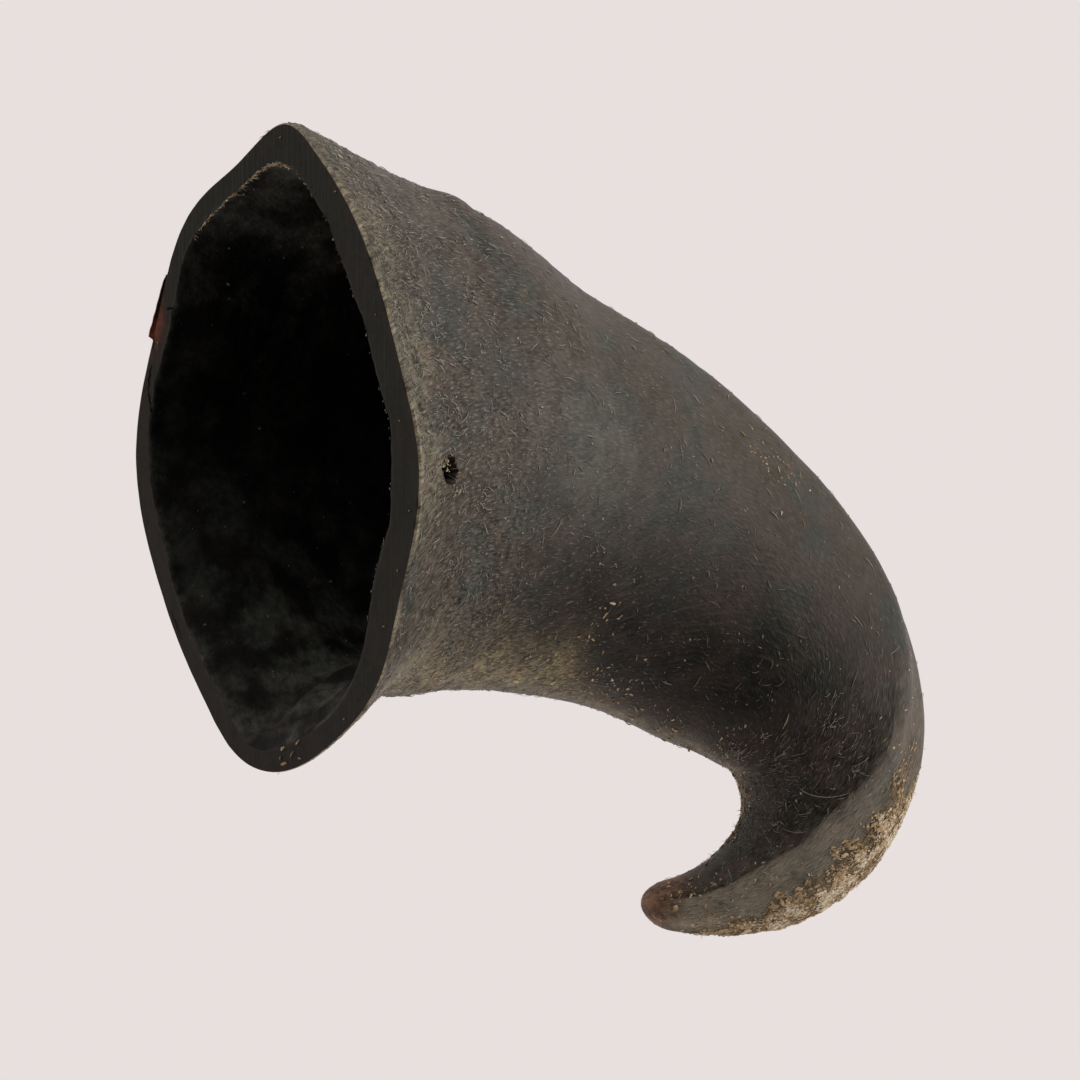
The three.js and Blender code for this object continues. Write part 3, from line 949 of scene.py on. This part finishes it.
def build_fibres(litter, look):
    """Loose fibres and hairs over the whole outer wall: short ones, strewn closer together by the
    mouth and on the hook's dark flank, slivers along the sawn edge, tufts, a few long stray hairs,
    and hairs that stand off the hook."""
    rng = np.random.default_rng(41)

    def density(s, u):
        tufts = ease(lumps(flank(s, u), 4, 42) * 1.6 + 0.5)
        near_mouth = 1.1 * bell(s / 22) + 0.35 * patch(s, u, 30, -70, 40, 30)
        share = 0.13 + near_mouth + patch(s, u, 117, 40, 13, 44) + 1.5 * patch(s, u, 131, 30, 12, 42)
        return (0.3 + 0.7 * tufts) * share

    s, u = strewn(litter.fibres, rng, density)
    count = len(s)
    lengths = 0.35 + rng.gamma(1.6, 0.42, count)
    width = rng.uniform(0.05, 0.14, count) * mix(1, 0.75, ease((s - 80) / 20))
    heading = rng.vonmises(0.45, 0.9, count)
    fibres = lying_fibres(s, u, heading, lengths, rng.normal(0, 0.9, count), width, 0.08 * lengths)
    tone = np.where(rng.random(count) < 0.09, rng.uniform(0.6, 1, count), rng.beta(1.3, 2.2, count) * 0.6)
    paler = 0.25 * (bell(s / 34) + ease((s - 112) / 10)) * (tone < 0.5)
    parts = [(*fibres, np.clip(tone + paler, 0, 1))]

    # Scraped-up slivers along the sawn edge
    count = litter.fibres // 9
    s, u = rng.uniform(0.3, 3.4, count), rng.uniform(-100, 96, count)
    lengths = rng.uniform(0.3, 1.3, count)
    heading = rng.normal(np.pi / 2, 0.7, count)
    curl, width = rng.normal(0, 0.5, count), rng.uniform(0.05, 0.12, count)
    fibres = lying_fibres(s, u, heading, lengths, curl, width, 0.05 * lengths)
    parts.append((*fibres, rng.uniform(0.1, 0.7, count)))

    # Tufts where short fibres cling together: s, u and how many
    tufts = np.array([
        (21.4, -3, 9), (7.2, 8, 5), (9.7, 8, 5), (30.3, 4, 5), (15, -10, 14), (32.4, -7, 6),
        (10.9, -8, 8), (102, 40, 8), (106, 45, 9), (108.7, 23, 10), (113.6, 76, 8), (122.3, 57, 7),
        (126.6, 61, 10), (138.5, 91, 7), (105, -14, 14), (103, 2, 10), (8.1, 33, 14), (6.5, 27, 10),
        (21.2, 24, 9), (18.1, 38, 7), (24, 10, 8), (42, 30, 6), (58, 34, 6), (47, -8, 7),
        (103.4, -18, 16), (105, -9, 14), (119, 6, 12), (123, 12, 12), (127, 6, 10), (121, 22, 10),
        (107, -4, 14), (131, 10, 12), (135, 14, 12), (128, 18, 10), (125, -2, 12), (117, 14, 8),
    ])
    s, u = (np.repeat(tufts[:, i], tufts[:, 2].astype(int)) for i in (0, 1))
    count = len(s)
    s = s + rng.normal(0, 0.6, count)
    u = u + rng.normal(0, 1.6, count)
    lengths = rng.uniform(0.4, 1.4, count)
    heading, curl = rng.uniform(-1, 2, count), rng.normal(0, 0.9, count)
    fibres = lying_fibres(s, u, heading, lengths, curl, rng.uniform(0.07, 0.13, count), 0.1 * lengths)
    parts.append((*fibres, rng.uniform(0.2, 0.75, count)))

    # Stray hairs: s, u, heading in degrees, length, curl in degrees, width, lift and tone
    strays = np.array([
        (117.9, 53.8, 58, 7.2, 76, 0.09, 0.3, 0.62),
        (103.2, 13.5, 160, 2.3, 20, 0.16, 0.25, 0.95),
        (101.5, 76, 88, 2.4, 10, 0.08, 0.1, 0.6),
        (84, -52, -18, 8.4, 22, 0.08, 0.3, 0.5),
        (126.5, 68, 100, 3.4, 50, 0.08, 0.3, 0.65),
        (36, -12, 60, 3.6, 12, 0.1, 0.2, 0.85),
        (35, -15, 130, 2.8, -20, 0.09, 0.2, 0.8),
        (61, 14, 95, 2.0, 25, 0.1, 0.2, 0.6),
        (14, -30, 80, 4.2, 30, 0.08, 0.15, 0.6),
        (33, 28, 30, 2.6, -25, 0.09, 0.15, 0.65),
        (10, 38, 60, 3.0, 60, 0.08, 0.15, 0.6),
        (56, 44, 90, 3.0, 20, 0.08, 0.15, 0.6),
    ])
    s, u, heading, lengths, curl, width, lift, tone = strays.T
    fibres = lying_fibres(s, u, np.radians(heading), lengths, np.radians(curl), width, lift, 12, 5)
    parts.append((*fibres, tone))

    # Hairs that stand off the inner side of the hook and off the crust; the first is a long one
    s = np.concatenate([rng.uniform(116, 142, 20), rng.uniform(108, 146, 26)])
    u = np.concatenate([rng.normal(5, 12, 20), rng.normal(146, 16, 26)])
    count = len(s)
    along, around, outward = directions(flank, s, u, LENGTH)
    lean = rng.normal(0, 0.7, (count, 2))
    aim = unit(outward + along * lean[:, :1] + around * lean[:, 1:])
    lengths = rng.uniform(0.35, 1.1, count)
    lengths[0], s[0], u[0] = 1.7, 139.5, 8.0
    t = np.linspace(0, 1, 5)[None, :, None]
    paths = skin(s, u)[:, None] + aim[:, None] * lengths[:, None, None] * t
    paths = paths + along[:, None] * (0.3 * lengths[:, None, None] * t**2)
    radii = np.full((count, 5), 0.04) * np.array([1.2, 1, 0.9, 0.7, 0.4])
    hairs = tubes(paths, radii, 3, np.repeat(around[:, None], 5, axis=1))
    parts.append((*hairs, rng.uniform(0.3, 1, count)))
    colours = (look.fibre_grey, look.fibre_pale, look.fibre_tan)
    return joined("loose_fibres", parts, toned("loose_keratin_fibre", colours, 0.6))


def surface_grains(s, u, size, longest, sink, rng):
    """Grains on the outer wall, half as thick as they are wide and up to longest times as long, flat
    on it, turned at random and sunk a little into it."""
    count = len(s)
    stretch = np.stack([rng.uniform(1, longest, count), np.ones(count), np.full(count, 0.5)], -1)
    sizes = size[:, None] * stretch
    along, around, outward = directions(flank, s, u, LENGTH)
    axes = handed(turned_axes(along, around, outward, rng.uniform(0, 360, count)))
    return grains(skin(s, u) + outward * (sizes[:, 2] - sink)[:, None], axes, sizes, rng)


def build_crust(litter, look):
    """Crust: broken ochre and tan grains, thick on the outside of the hook, thin along the belly and
    in spots elsewhere."""
    rng = np.random.default_rng(52)

    def hook_density(s, u):
        clumps = 0.12 + 0.88 * ease(lumps(flank(s, u), 1.8, 61) * 2 + 0.3)
        return crust_share(s, u) * clumps * mix(0.35, 1, ease((s - 114) / 10))

    s, u = strewn(litter.crust_grains, rng, hook_density, 104, 149)
    count = len(s)
    size = rng.gamma(2.0, 0.042, count) + 0.04
    stretch = np.stack([rng.uniform(1, 2.8, count), np.ones(count), rng.uniform(0.3, 0.6, count)], -1)
    along, around, outward = directions(flank, s, u, LENGTH)
    axes = handed(turned_axes(along, around, outward, rng.normal(0, 45, count)))
    crust = grains(skin(s, u) + outward * (0.25 * size)[:, None], axes, size[:, None] * stretch, rng)
    # Painted light from below: grains grow paler the further they lie outside the crust's edge, on the side
    # facing the floor
    dry = ease(beyond_crust_edge(s, u) / 36 + 0.3 * lumps(flank(s, u), 2.6, 62))
    parts = [(*crust, 0.2 + 0.52 * rng.beta(1.4, 1.4, count) + 0.36 * dry)]

    # Thin crust: middle s and u, reach in s and u, how many
    for middle_s, middle_u, reach_s, reach_u, count in (
        (72.5, 60, 1.4, 5, 20), (76.5, 69, 2.4, 7, 44), (58, -36, 3.5, 8, 46), (68, -54, 4, 8, 60),
        (56, -58, 14, 9, 150), (88, -52, 12, 7, 130),
        (30, -72, 16, 14, 120), (104, -24, 5, 9, 90), (122, -4, 8, 9, 220),
        (132, 8, 7, 8, 220), (108, -12, 4, 7, 90), (146, 100, 3, 40, 90), (106, 100, 5, 8, 36),
        (138, 96, 7, 14, 40), (4, 82, 4, 12, 60), (124, 66, 10, 20, 40), (142, 140, 6, 12, 120),
    ):
        s = np.clip(rng.normal(middle_s, reach_s, count), 0.6, 150)
        u = rng.normal(middle_u, reach_u, count)
        size = rng.gamma(2, 0.035, count) + 0.04
        parts.append((*surface_grains(s, u, size, 3.2, 0.04, rng), rng.uniform(0.15, 0.8, count)))
    colours = (look.crust_dark, look.crust, look.crust_light)
    return joined("crust_grains", parts, toned("dried_crust", colours, 0.85), False)


def build_dust(litter, look):
    """Pale specks of horn dust on the outer wall, the sawn face and the hollow's wall, chips along
    the inner edge, the wood-like borings in the insect hole, and a few straw-coloured bits on the
    lowest part of the rim."""
    rng = np.random.default_rng(63)
    s, u = strewn(litter.specks, rng, lambda s, u: 0.35 + 0.4 * bell(s / 30))
    count = len(s)
    size = rng.gamma(1.7, 0.03, count) + 0.03
    parts = [(*surface_grains(s, u, size, 2, 0.01, rng), rng.uniform(0, 0.6, count))]

    # Specks in the hollow, on the side that shows: mostly small, and four larger ones
    count = 90
    s, u = rng.uniform(1, 34, count), rng.uniform(96, 262, count)
    along, around, outward = directions(lining, s, u, CAVITY_DEPTH)
    size = rng.gamma(1.6, 0.045, count) + 0.05
    size[:4], s[:4], u[:4] = (0.3, 0.24, 0.2, 0.2), (7.2, 5.2, 1.2, 14.2), (140, 130, 109, 121)
    axes = handed(turned_axes(along, around, -outward, rng.uniform(0, 360, count)))
    sizes = size[:, None] * np.array([1.3, 1, 0.6])
    specks = grains(inner_skin(s, u) - outward * (0.3 * size)[:, None], axes, sizes, rng)
    tone = rng.uniform(0, 0.4, count)
    tone[:4] = 0.55
    parts.append((*specks, tone))

    # Bits on the sawn face: u, share of the wall, length, width, turn in degrees
    bits = np.array([
        (-87, 0.86, 0.5, 0.28, 20), (-80, 0.86, 0.75, 0.24, 35), (-86.5, 0.32, 0.7, 0.26, 10),
        (-83, 0.55, 0.9, 0.12, 50), (-88, 0.55, 0.4, 0.16, 70), (-80, 0.3, 0.35, 0.2, 0),
        (-36, 0.35, 0.2, 0.16, 0), (-24, 0.3, 0.22, 0.2, 0), (88, 0.35, 0.18, 0.16, 0),
        (62, 0.2, 0.22, 0.2, 0), (5, 0.55, 0.16, 0.14, 0), (-12, 0.3, 0.16, 0.12, 0),
        (30, 0.45, 0.14, 0.12, 0), (158, 0.45, 0.2, 0.15, 0), (-60, 0.4, 0.22, 0.14, 40),
    ])
    bit_u, share, length, width, turn = bits.T
    count = len(bits)
    axes = turned_axes(*(np.tile(axis, (count, 1)) for axis in FACE_AXES), turn)
    sizes = np.stack([length, width, np.full(count, 0.16)], -1)
    on_face = grains(face_point(bit_u, share) - 0.08 * INTO_HORN, handed(axes), sizes, rng)
    parts.append((*on_face, rng.uniform(0.7, 1, count)))

    # Chips along the inner edge of the rim's near side
    count = 44
    u = rng.uniform(-45, 78, count)
    middles = face_point(u, rng.uniform(0.97, 1.0, count)) - 0.03 * INTO_HORN
    sizes = rng.uniform(0.06, 0.15, count)[:, None] * np.array([0.8, 1.5, 0.7])
    chips = grains(middles, handed(np.tile(FACE_AXES, (count, 1, 1))), sizes, rng)
    parts.append((*chips, rng.uniform(0.1, 0.6, count)))

    # Borings in the upper end of the insect hole, and crumbs round its lower end
    count = 60
    boring = np.arange(count) < 30
    s = BORE[0] + np.where(boring, rng.normal(-0.6, 0.5, count), rng.normal(1.8, 1.1, count))
    u = BORE[1] + np.where(boring, rng.normal(1.5, 0.8, count), rng.normal(-4.2, 0.6, count))
    along, around, outward = directions(flank, s, u, LENGTH)
    depth = np.where(boring, rng.uniform(0.1, 0.8, count), -0.02)
    axes = handed(turned_axes(along, around, outward, rng.uniform(0, 360, count)))
    size = rng.uniform(0.09, 0.24, count) * np.where(boring, 1, 0.6)
    sizes = size[:, None] * np.array([1.4, 0.9, 0.7])
    crumbs = grains(flank(s, u) - outward * depth[:, None], axes, sizes, rng)
    parts.append((*crumbs, np.where(boring, 0.85, 0.72)))
    colours = (look.fibre_grey, look.fibre_pale, look.fibre_tan)
    return joined("horn_dust", parts, toned("horn_dust", colours, 0.8), False)


def build_fringe(look):
    """The torn inner edge at the top of the mouth: tan fibres that curl off it into the hollow, and
    lumps of torn horn along it."""
    rng = np.random.default_rng(74)
    count = 150
    u = np.concatenate([rng.normal(92, 9, 90), rng.uniform(84, 132, 60)])
    start = face_point(u, rng.uniform(0.93, 1.02, count))
    inward = unit(face_point(u, np.ones(count)) - face_point(u, np.zeros(count)))
    around = np.cross(inward, INTO_HORN)
    lengths = rng.gamma(2, 0.16, count) + 0.12
    aim = inward * rng.uniform(0.1, 1, count)[:, None] + around * rng.normal(0, 1.1, count)[:, None]
    aim = unit(aim + 0.5 * INTO_HORN)
    t = np.linspace(0, 1, 6)[None, :, None]
    curl = around * rng.normal(0, 0.5, count)[:, None]
    paths = start[:, None] + lengths[:, None, None] * (aim[:, None] * t + curl[:, None] * t**2)
    radii = rng.uniform(0.03, 0.07, count)[:, None] * np.array([1.2, 1.1, 1, 0.9, 0.7, 0.4])
    fibres = tubes(paths, radii, 4, np.repeat(np.cross(aim, inward + 0.01)[:, None], 6, axis=1))
    parts = [(*fibres, rng.uniform(0.3, 1, count))]

    # Lumps of torn horn, closest together at u 90 and 98.5
    count = 300
    u = np.concatenate([rng.uniform(84, 128, 180), rng.normal(90, 4, 60), rng.normal(98.5, 0.9, 60)])
    share, depth = rng.uniform(0.97, 1.02, count), rng.uniform(-0.05, 0.5, count)
    middles = face_point(u, share) + INTO_HORN * depth[:, None]
    outward = unit(middles)
    size = rng.gamma(2, 0.035, count) + 0.04 + 0.05 * bell((u - 98.5) / 1.5)
    stretch = np.stack([rng.uniform(1, 2.6, count), np.full(count, 0.8), np.full(count, 0.7)], -1)
    side = unit(np.cross(outward, INTO_HORN))
    axes = handed(np.stack([side, np.tile(INTO_HORN, (count, 1)), outward], axis=1))
    torn = grains(middles, axes, size[:, None] * stretch, rng)
    parts.append((*torn, rng.uniform(0.25, 1, count)))
    colours = (look.fringe_dark, look.crust, look.crust_light)
    return joined("torn_rim", parts, toned("torn_horn", colours, 0.7))


def build_flake(look):
    """A thin flake that peels off the far flank beside the sawn edge: a sheet that lifts off the wall
    more towards its far end and, by a power of its place across, towards the sawn edge. A second
    sheet just under it closes it."""
    length, width, thick = 64, 14, 0.2  # points along and across, and the top's height over the lift
    t, w = np.meshgrid(np.linspace(0, 1, length), np.linspace(0, 1, width), indexing="ij")
    ragged = 0.25 * np.sin(t * 39) + 0.2 * np.sin(t * 23 + 1)
    s = 0.15 + w * (3.4 + ragged) * np.sin(np.pi * np.clip(t * 0.72 + 0.24, 0, 1)) ** 0.6
    u = 144.8 + t * (13.6 + 0.8 * w)
    base = skin(s, u)
    _, _, outward = directions(flank, s, u, LENGTH)
    lift = 0.05 + (0.3 + 0.95 * t) * ease(t / 0.12) * (1 - w) ** 0.7 + 0.08 * np.sin(t * 30 + w * 4) * t
    top = base + outward * (lift + thick)[..., None]
    under = base + outward * (lift + 0.02)[..., None]
    index = np.arange(length * width).reshape(length, width)
    quads = np.stack([index[:-1, :-1], index[1:, :-1], index[1:, 1:], index[:-1, 1:]], -1).reshape(-1, 4)
    rim = np.concatenate([index[0, :], index[1:, -1], index[-1, -2::-1], index[-2:0:-1, 0]])
    after = np.roll(rim, -1)
    below = length * width
    walls = np.stack([after, rim, rim + below, after + below], -1)
    points = np.concatenate([top.reshape(-1, 3), under.reshape(-1, 3)])
    piece = make_piece("peeling_flake", points, [quads, quads[:, ::-1] + below, walls], [peeling_horn(look)])
    set_attribute(piece.data, "red", np.tile(ease((t.ravel() - 0.62) / 0.16), 2))
    return piece


def build_cracks(look):
    """Short drying cracks in the thin far side of the rim: flat dark slivers on the sawn face. Each
    is a wavy line of stops with a width that runs out at both ends."""
    # u and share of the wall at both ends, width, waviness
    rows = np.array([
        (150.2, 0.55, 148.2, 1.02, 0.34, 0.1), (163, 0.35, 168.5, 0.52, 0.26, 0.22),
        (168.3, 0.5, 171.5, 0.86, 0.3, 0.22), (171.5, 0.82, 172.4, 1.0, 0.34, 0.1),
        (157.6, 0.1, 160.5, 0.22, 0.16, 0.1), (-146, 0.3, -138, 0.36, 0.1, 0.15),
    ])
    u0, share0, u1, share1, width, wave = rows.T
    t = np.linspace(0, 1, 9)
    jag = np.sin(t * 19)[None] * wave[:, None] * 0.3
    u = mix(u0[:, None], u1[:, None], t)
    share = mix(share0[:, None], share1[:, None], t) + jag
    radii = width[:, None] / 2 * (0.25 + 0.75 * np.sin(np.pi * np.clip(t, 0.03, 0.97)))
    points, faces = tubes(face_point(u, share), radii, 6, np.tile(FACE_AXES[2], (*radii.shape, 1)))
    points[:, 0] = points[:, 0] * 0.25 - 0.05
    return make_piece("rim_cracks", points, faces, [crack_shadow(look)])


# --------------------------------------------------------------------------------------- the studio

# The camera looks level across the horn's own axes, turned 45 degrees from the sawn face, at a point
# this far right of and below the middle of the face, and sees this width there
CAMERA_TURN = 45.0
CAMERA_DISTANCE = 784.0
LOOK_RIGHT = 36.96
LOOK_DOWN = 12.88
SEEN_WIDTH = 151.2
SENSOR = 36.0

# The rest is in metres: the floor lies just under the specks on the horn's underside
FLOOR_HALF = 6.0
FLOOR_DROP = 0.0004
SOFTBOX_DISTANCE = 0.75
SOFTBOX_SIZE = 0.5
# Each softbox's direction from the horn as right, up and towards the camera
SOFTBOXES = {
    "right": (0.95, 0.1, 0.3),
    "upper_right": (0.7, 0.65, 0.3),
    "top": (0.1, 0.95, 0.3),
    "left": (-0.4, 0.7, 0.6),
    "low": (0.7, -0.65, 0.35),
}


def camera_axes():
    """The camera's right, up and backward directions in the frame, as rows."""
    turn = math.radians(CAMERA_TURN)
    right = (math.cos(turn), -math.sin(turn), 0)
    back = (-math.sin(turn), -math.cos(turn), 0)
    return np.array([right, (0, 0, 1), back]) @ REST.T


def stand(thing, axes, at):
    """Turns a camera or light so that its own axes are these rows, and puts it at a place."""
    matrix = np.eye(4)
    matrix[:3, :3] = axes.T
    matrix[:3, 3] = at
    thing.matrix_world = Matrix(matrix.tolist())
    bpy.context.scene.collection.objects.link(thing)


def build_camera():
    axes = camera_axes()
    target = lay(np.zeros(3)) + (axes[0] * LOOK_RIGHT - axes[1] * LOOK_DOWN) * MM
    lens = bpy.data.cameras.new("camera")
    lens.sensor_width = SENSOR
    lens.lens = SENSOR * CAMERA_DISTANCE / SEEN_WIDTH
    lens.clip_end = 50
    camera = bpy.data.objects.new("camera", lens)
    stand(camera, axes, target + axes[2] * CAMERA_DISTANCE * MM)
    bpy.context.scene.camera = camera


def build_softboxes(studio):
    """Square softboxes round the horn, each facing its middle."""
    axes = camera_axes()
    low, high = (np.array(corner) for corner in CAD_BOX)
    middle = (low + high) / 2
    for name, direction in SOFTBOXES.items():
        back = unit(np.array(direction) @ axes)
        right = unit(np.cross(axes[1], back))
        data = bpy.data.lights.new("softbox_" + name, "AREA")
        data.shape = "SQUARE"
        data.size = SOFTBOX_SIZE
        data.energy = getattr(studio, name + "_power")
        light = bpy.data.objects.new("softbox_" + name, data)
        stand(light, np.array([right, np.cross(back, right), back]), middle + back * SOFTBOX_DISTANCE)


def build_floor(studio):
    """A pale glowing floor, as a light table is, so that nothing casts a shadow on it."""
    low = CAD_BOX[0][2] - FLOOR_DROP
    corners = [(x * FLOOR_HALF, y * FLOOR_HALF, low) for x, y in ((-1, -1), (1, -1), (1, 1), (-1, 1))]
    mesh = bpy.data.meshes.new("floor")
    mesh.from_pydata(corners, [], [(0, 1, 2, 3)])
    material, node = new_material("light_table")
    node("OutputMaterial", node("Emission", studio.floor_colour, 1.0))
    mesh.materials.append(material)
    floor = bpy.data.objects.new("floor", mesh)
    bpy.context.scene.collection.objects.link(floor)


def build_surround(studio):
    """A backdrop as pale as the floor, which lights nothing, so that the softboxes shape the horn."""
    world = bpy.data.worlds.new("surround")
    world.use_nodes = True
    background = world.node_tree.nodes["Background"]
    background.inputs["Color"].default_value = studio.floor_colour
    world.cycles_visibility.diffuse = False
    world.cycles_visibility.glossy = False
    bpy.context.scene.world = world
    bpy.context.scene.view_settings.view_transform = "Standard"


# ---------------------------------------------------------------------------------------- the add-on


def paint(name, hex_colour, description):
    """A colour property with its default given as an sRGB hex value."""
    default = (*linear(hex_colour), 1.0)
    return FloatVectorProperty(
        name=name, description=description, subtype="COLOR", size=4, min=0, max=1, default=default
    )


def power(name, default, description):
    return FloatProperty(name=name, description=description, default=default, min=0, unit="POWER")


class HornShape(PropertyGroup):
    columns: IntProperty(name="Columns", description="Points round the horn", default=384, min=24)
    rows: IntProperty(name="Rows", description="Rows along the outer wall", default=180, min=12)
    inner_rows: IntProperty(name="Inner Rows", description="Rows along the hollow's wall", default=44, min=8)
    edge_break: FloatProperty(
        name="Edge Break", description="How much the sawn edge is rounded",
        default=0.0003, min=0.0001, unit="LENGTH",
    )


class HornLook(PropertyGroup):
    flank: paint("Flank", "#4f463d", "Raw horn on the flanks")
    green_cast: paint("Green Cast", "#474740", "Grey-green patches")
    brown_cast: paint("Brown Cast", "#52453e", "Brown patches")
    # A painted highlight: the lights' sheen on the near flank
    rubbed: paint("Rubbed", "#615e55", "Horn rubbed pale on the near flank")
    # Painted shade on the dark inner side of the hook; also the dark clots on the belly
    dark_clots_and_shade: paint("Worn Dark", "#181411", "The dark inner side of the hook")
    # Painted shade, reddish where the horn's own maroon patches lie
    painted_shade_red: paint("Worn Red", "#251a18", "Reddish parts of the dark side")
    belly: paint("Belly", "#776a4b", "The olive-brown belly")
    # The band's own grey, made paler as painted light
    band: paint("Band", "#a39683", "The smooth grey band outside the hook")
    tip: paint("Tip", "#94705a", "The reddish tip")
    scraped: paint("Scraped", "#94876f", "Scraped horn beside the sawn edge")
    streak: paint("Streak", "#696056", "Pale strands")
    fleck: paint("Fleck", "#91897d", "Pale flecks")
    # Painted shade: the near black laid into the insect hole and the cracks
    bore: paint("Bore", "#070605", "Deep holes and cracks")
    crust_dark: paint("Dark Crust", "#6a5a46", "Crust in the gaps")
    crust: paint("Crust", "#c2a076", "Dry crust")
    # The palest crust tone, which painted light from below also pushes the outer crust towards
    crust_light: paint("Light Crust", "#f0dfc4", "The driest crust")
    face: paint("Sawn Face", "#25271e", "Sawn horn")
    face_red: paint("Reddish Face", "#30271f", "Reddish parts of the sawn face")
    saw_line: paint("Saw Line", "#37332a", "Scratches of the saw")
    # Nearly black partly as painted shade inside the hollow
    hollow: paint("Hollow", "#131210", "The hollow's wall")
    hollow_brown: paint("Brown Hollow", "#241e19", "Brown parts of the hollow's wall")
    # Also the colour of the painted highlights on the rim's inner edge and the folds, and of the hollow's
    # painted lit side
    hollow_dust_and_highlight: paint("Hollow Dust", "#52524a", "Dusty parts of the hollow's wall")
    fibre_grey: paint("Grey Fibre", "#857e73", "Fibres and dust")
    fibre_pale: paint("Pale Fibre", "#b5aea2", "Fibres and dust")
    fibre_tan: paint("Tan Fibre", "#b89f78", "Fibres and dust")
    fringe_dark: paint("Torn Horn", "#2c241d", "Torn horn on the inner edge")
    flake: paint("Flake", "#96482f", "The peeling flake, and the stain beside it")
    flake_dark: paint("Dark Flake", "#4a3427", "Thicker parts of the flake")
    grain_height: FloatProperty(
        name="Grain Height", description="Height of the fine grain", default=0.0002, min=0, unit="LENGTH"
    )


class HornLitter(PropertyGroup):
    fibres: IntProperty(name="Fibres", description="Short loose fibres", default=5200, min=6)
    crust_grains: IntProperty(name="Crust Grains", description="Grains on the hook", default=8200, min=1)
    specks: IntProperty(name="Specks", description="Specks of horn dust", default=2200, min=1)


class HornStudio(PropertyGroup):
    floor_colour: paint("Floor", "#e8e0de", "The floor and the surround")
    right_power: power("Right", 2.3, "The softbox on the right")
    upper_right_power: power("Upper Right", 2.0, "The softbox above on the right")
    top_power: power("Top", 0.9, "The softbox above")
    left_power: power("Left", 0.5, "The softbox on the left")
    low_power: power("Low", 1.2, "The softbox below on the right")


class HORN_OT_sheath(Operator):
    """Build the horn itself"""

    bl_idname = "horn.build_sheath"
    bl_label = "Horn"

    def execute(self, context):
        piece = build_sheath(context.scene.horn_shape, context.scene.horn_look)
        belongs(piece)
        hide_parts(NODE)
        return {"FINISHED"}


class HORN_OT_rim(Operator):
    """Build what is torn, cracked and peeling at the sawn rim"""

    bl_idname = "horn.build_rim"
    bl_label = "Rim Damage"

    def execute(self, context):
        for build in (build_fringe, build_flake, build_cracks):
            belongs(build(context.scene.horn_look))
        return {"FINISHED"}


class HORN_OT_litter(Operator):
    """Build the loose fibres, the crust and the dust"""

    bl_idname = "horn.build_litter"
    bl_label = "Fibres, Crust and Dust"

    def execute(self, context):
        for build in (build_fibres, build_crust, build_dust):
            belongs(build(context.scene.horn_litter, context.scene.horn_look))
        return {"FINISHED"}


class HORN_OT_studio(Operator):
    """Build the floor, the lights and the camera"""

    bl_idname = "horn.build_studio"
    bl_label = "Studio"

    def execute(self, context):
        studio = context.scene.horn_studio
        build_floor(studio)
        build_surround(studio)
        build_softboxes(studio)
        build_camera()
        return {"FINISHED"}


class HORN_PT_panel(Panel):
    """Lists the horn's pieces"""

    bl_idname = "HORN_PT_panel"
    bl_label = "Buffalo Horn"
    bl_space_type = "VIEW_3D"
    bl_region_type = "UI"
    bl_category = "Horn"

    def draw(self, context):
        for operator in OPERATORS:
            self.layout.operator(operator.bl_idname)
        for group, owner in GROUPS.items():
            column = self.layout.column()
            for name in owner.__annotations__:
                column.prop(getattr(context.scene, group), name)


GROUPS = {
    "horn_shape": HornShape,
    "horn_look": HornLook,
    "horn_litter": HornLitter,
    "horn_studio": HornStudio,
}
OPERATORS = (HORN_OT_sheath, HORN_OT_rim, HORN_OT_litter, HORN_OT_studio)


def register():
    for cls in (*GROUPS.values(), *OPERATORS, HORN_PT_panel):
        bpy.utils.register_class(cls)
    for group, owner in GROUPS.items():
        setattr(bpy.types.Scene, group, PointerProperty(type=owner))


def unregister():
    for group in GROUPS:
        delattr(bpy.types.Scene, group)
    for cls in (HORN_PT_panel, *reversed(OPERATORS), *reversed(GROUPS.values())):
        bpy.utils.unregister_class(cls)


def main():
    register()
    bpy.ops.horn.build_sheath()
    bpy.ops.horn.build_rim()
    bpy.ops.horn.build_litter()
    bpy.ops.horn.build_studio()


if __name__ == "__main__":
    main()
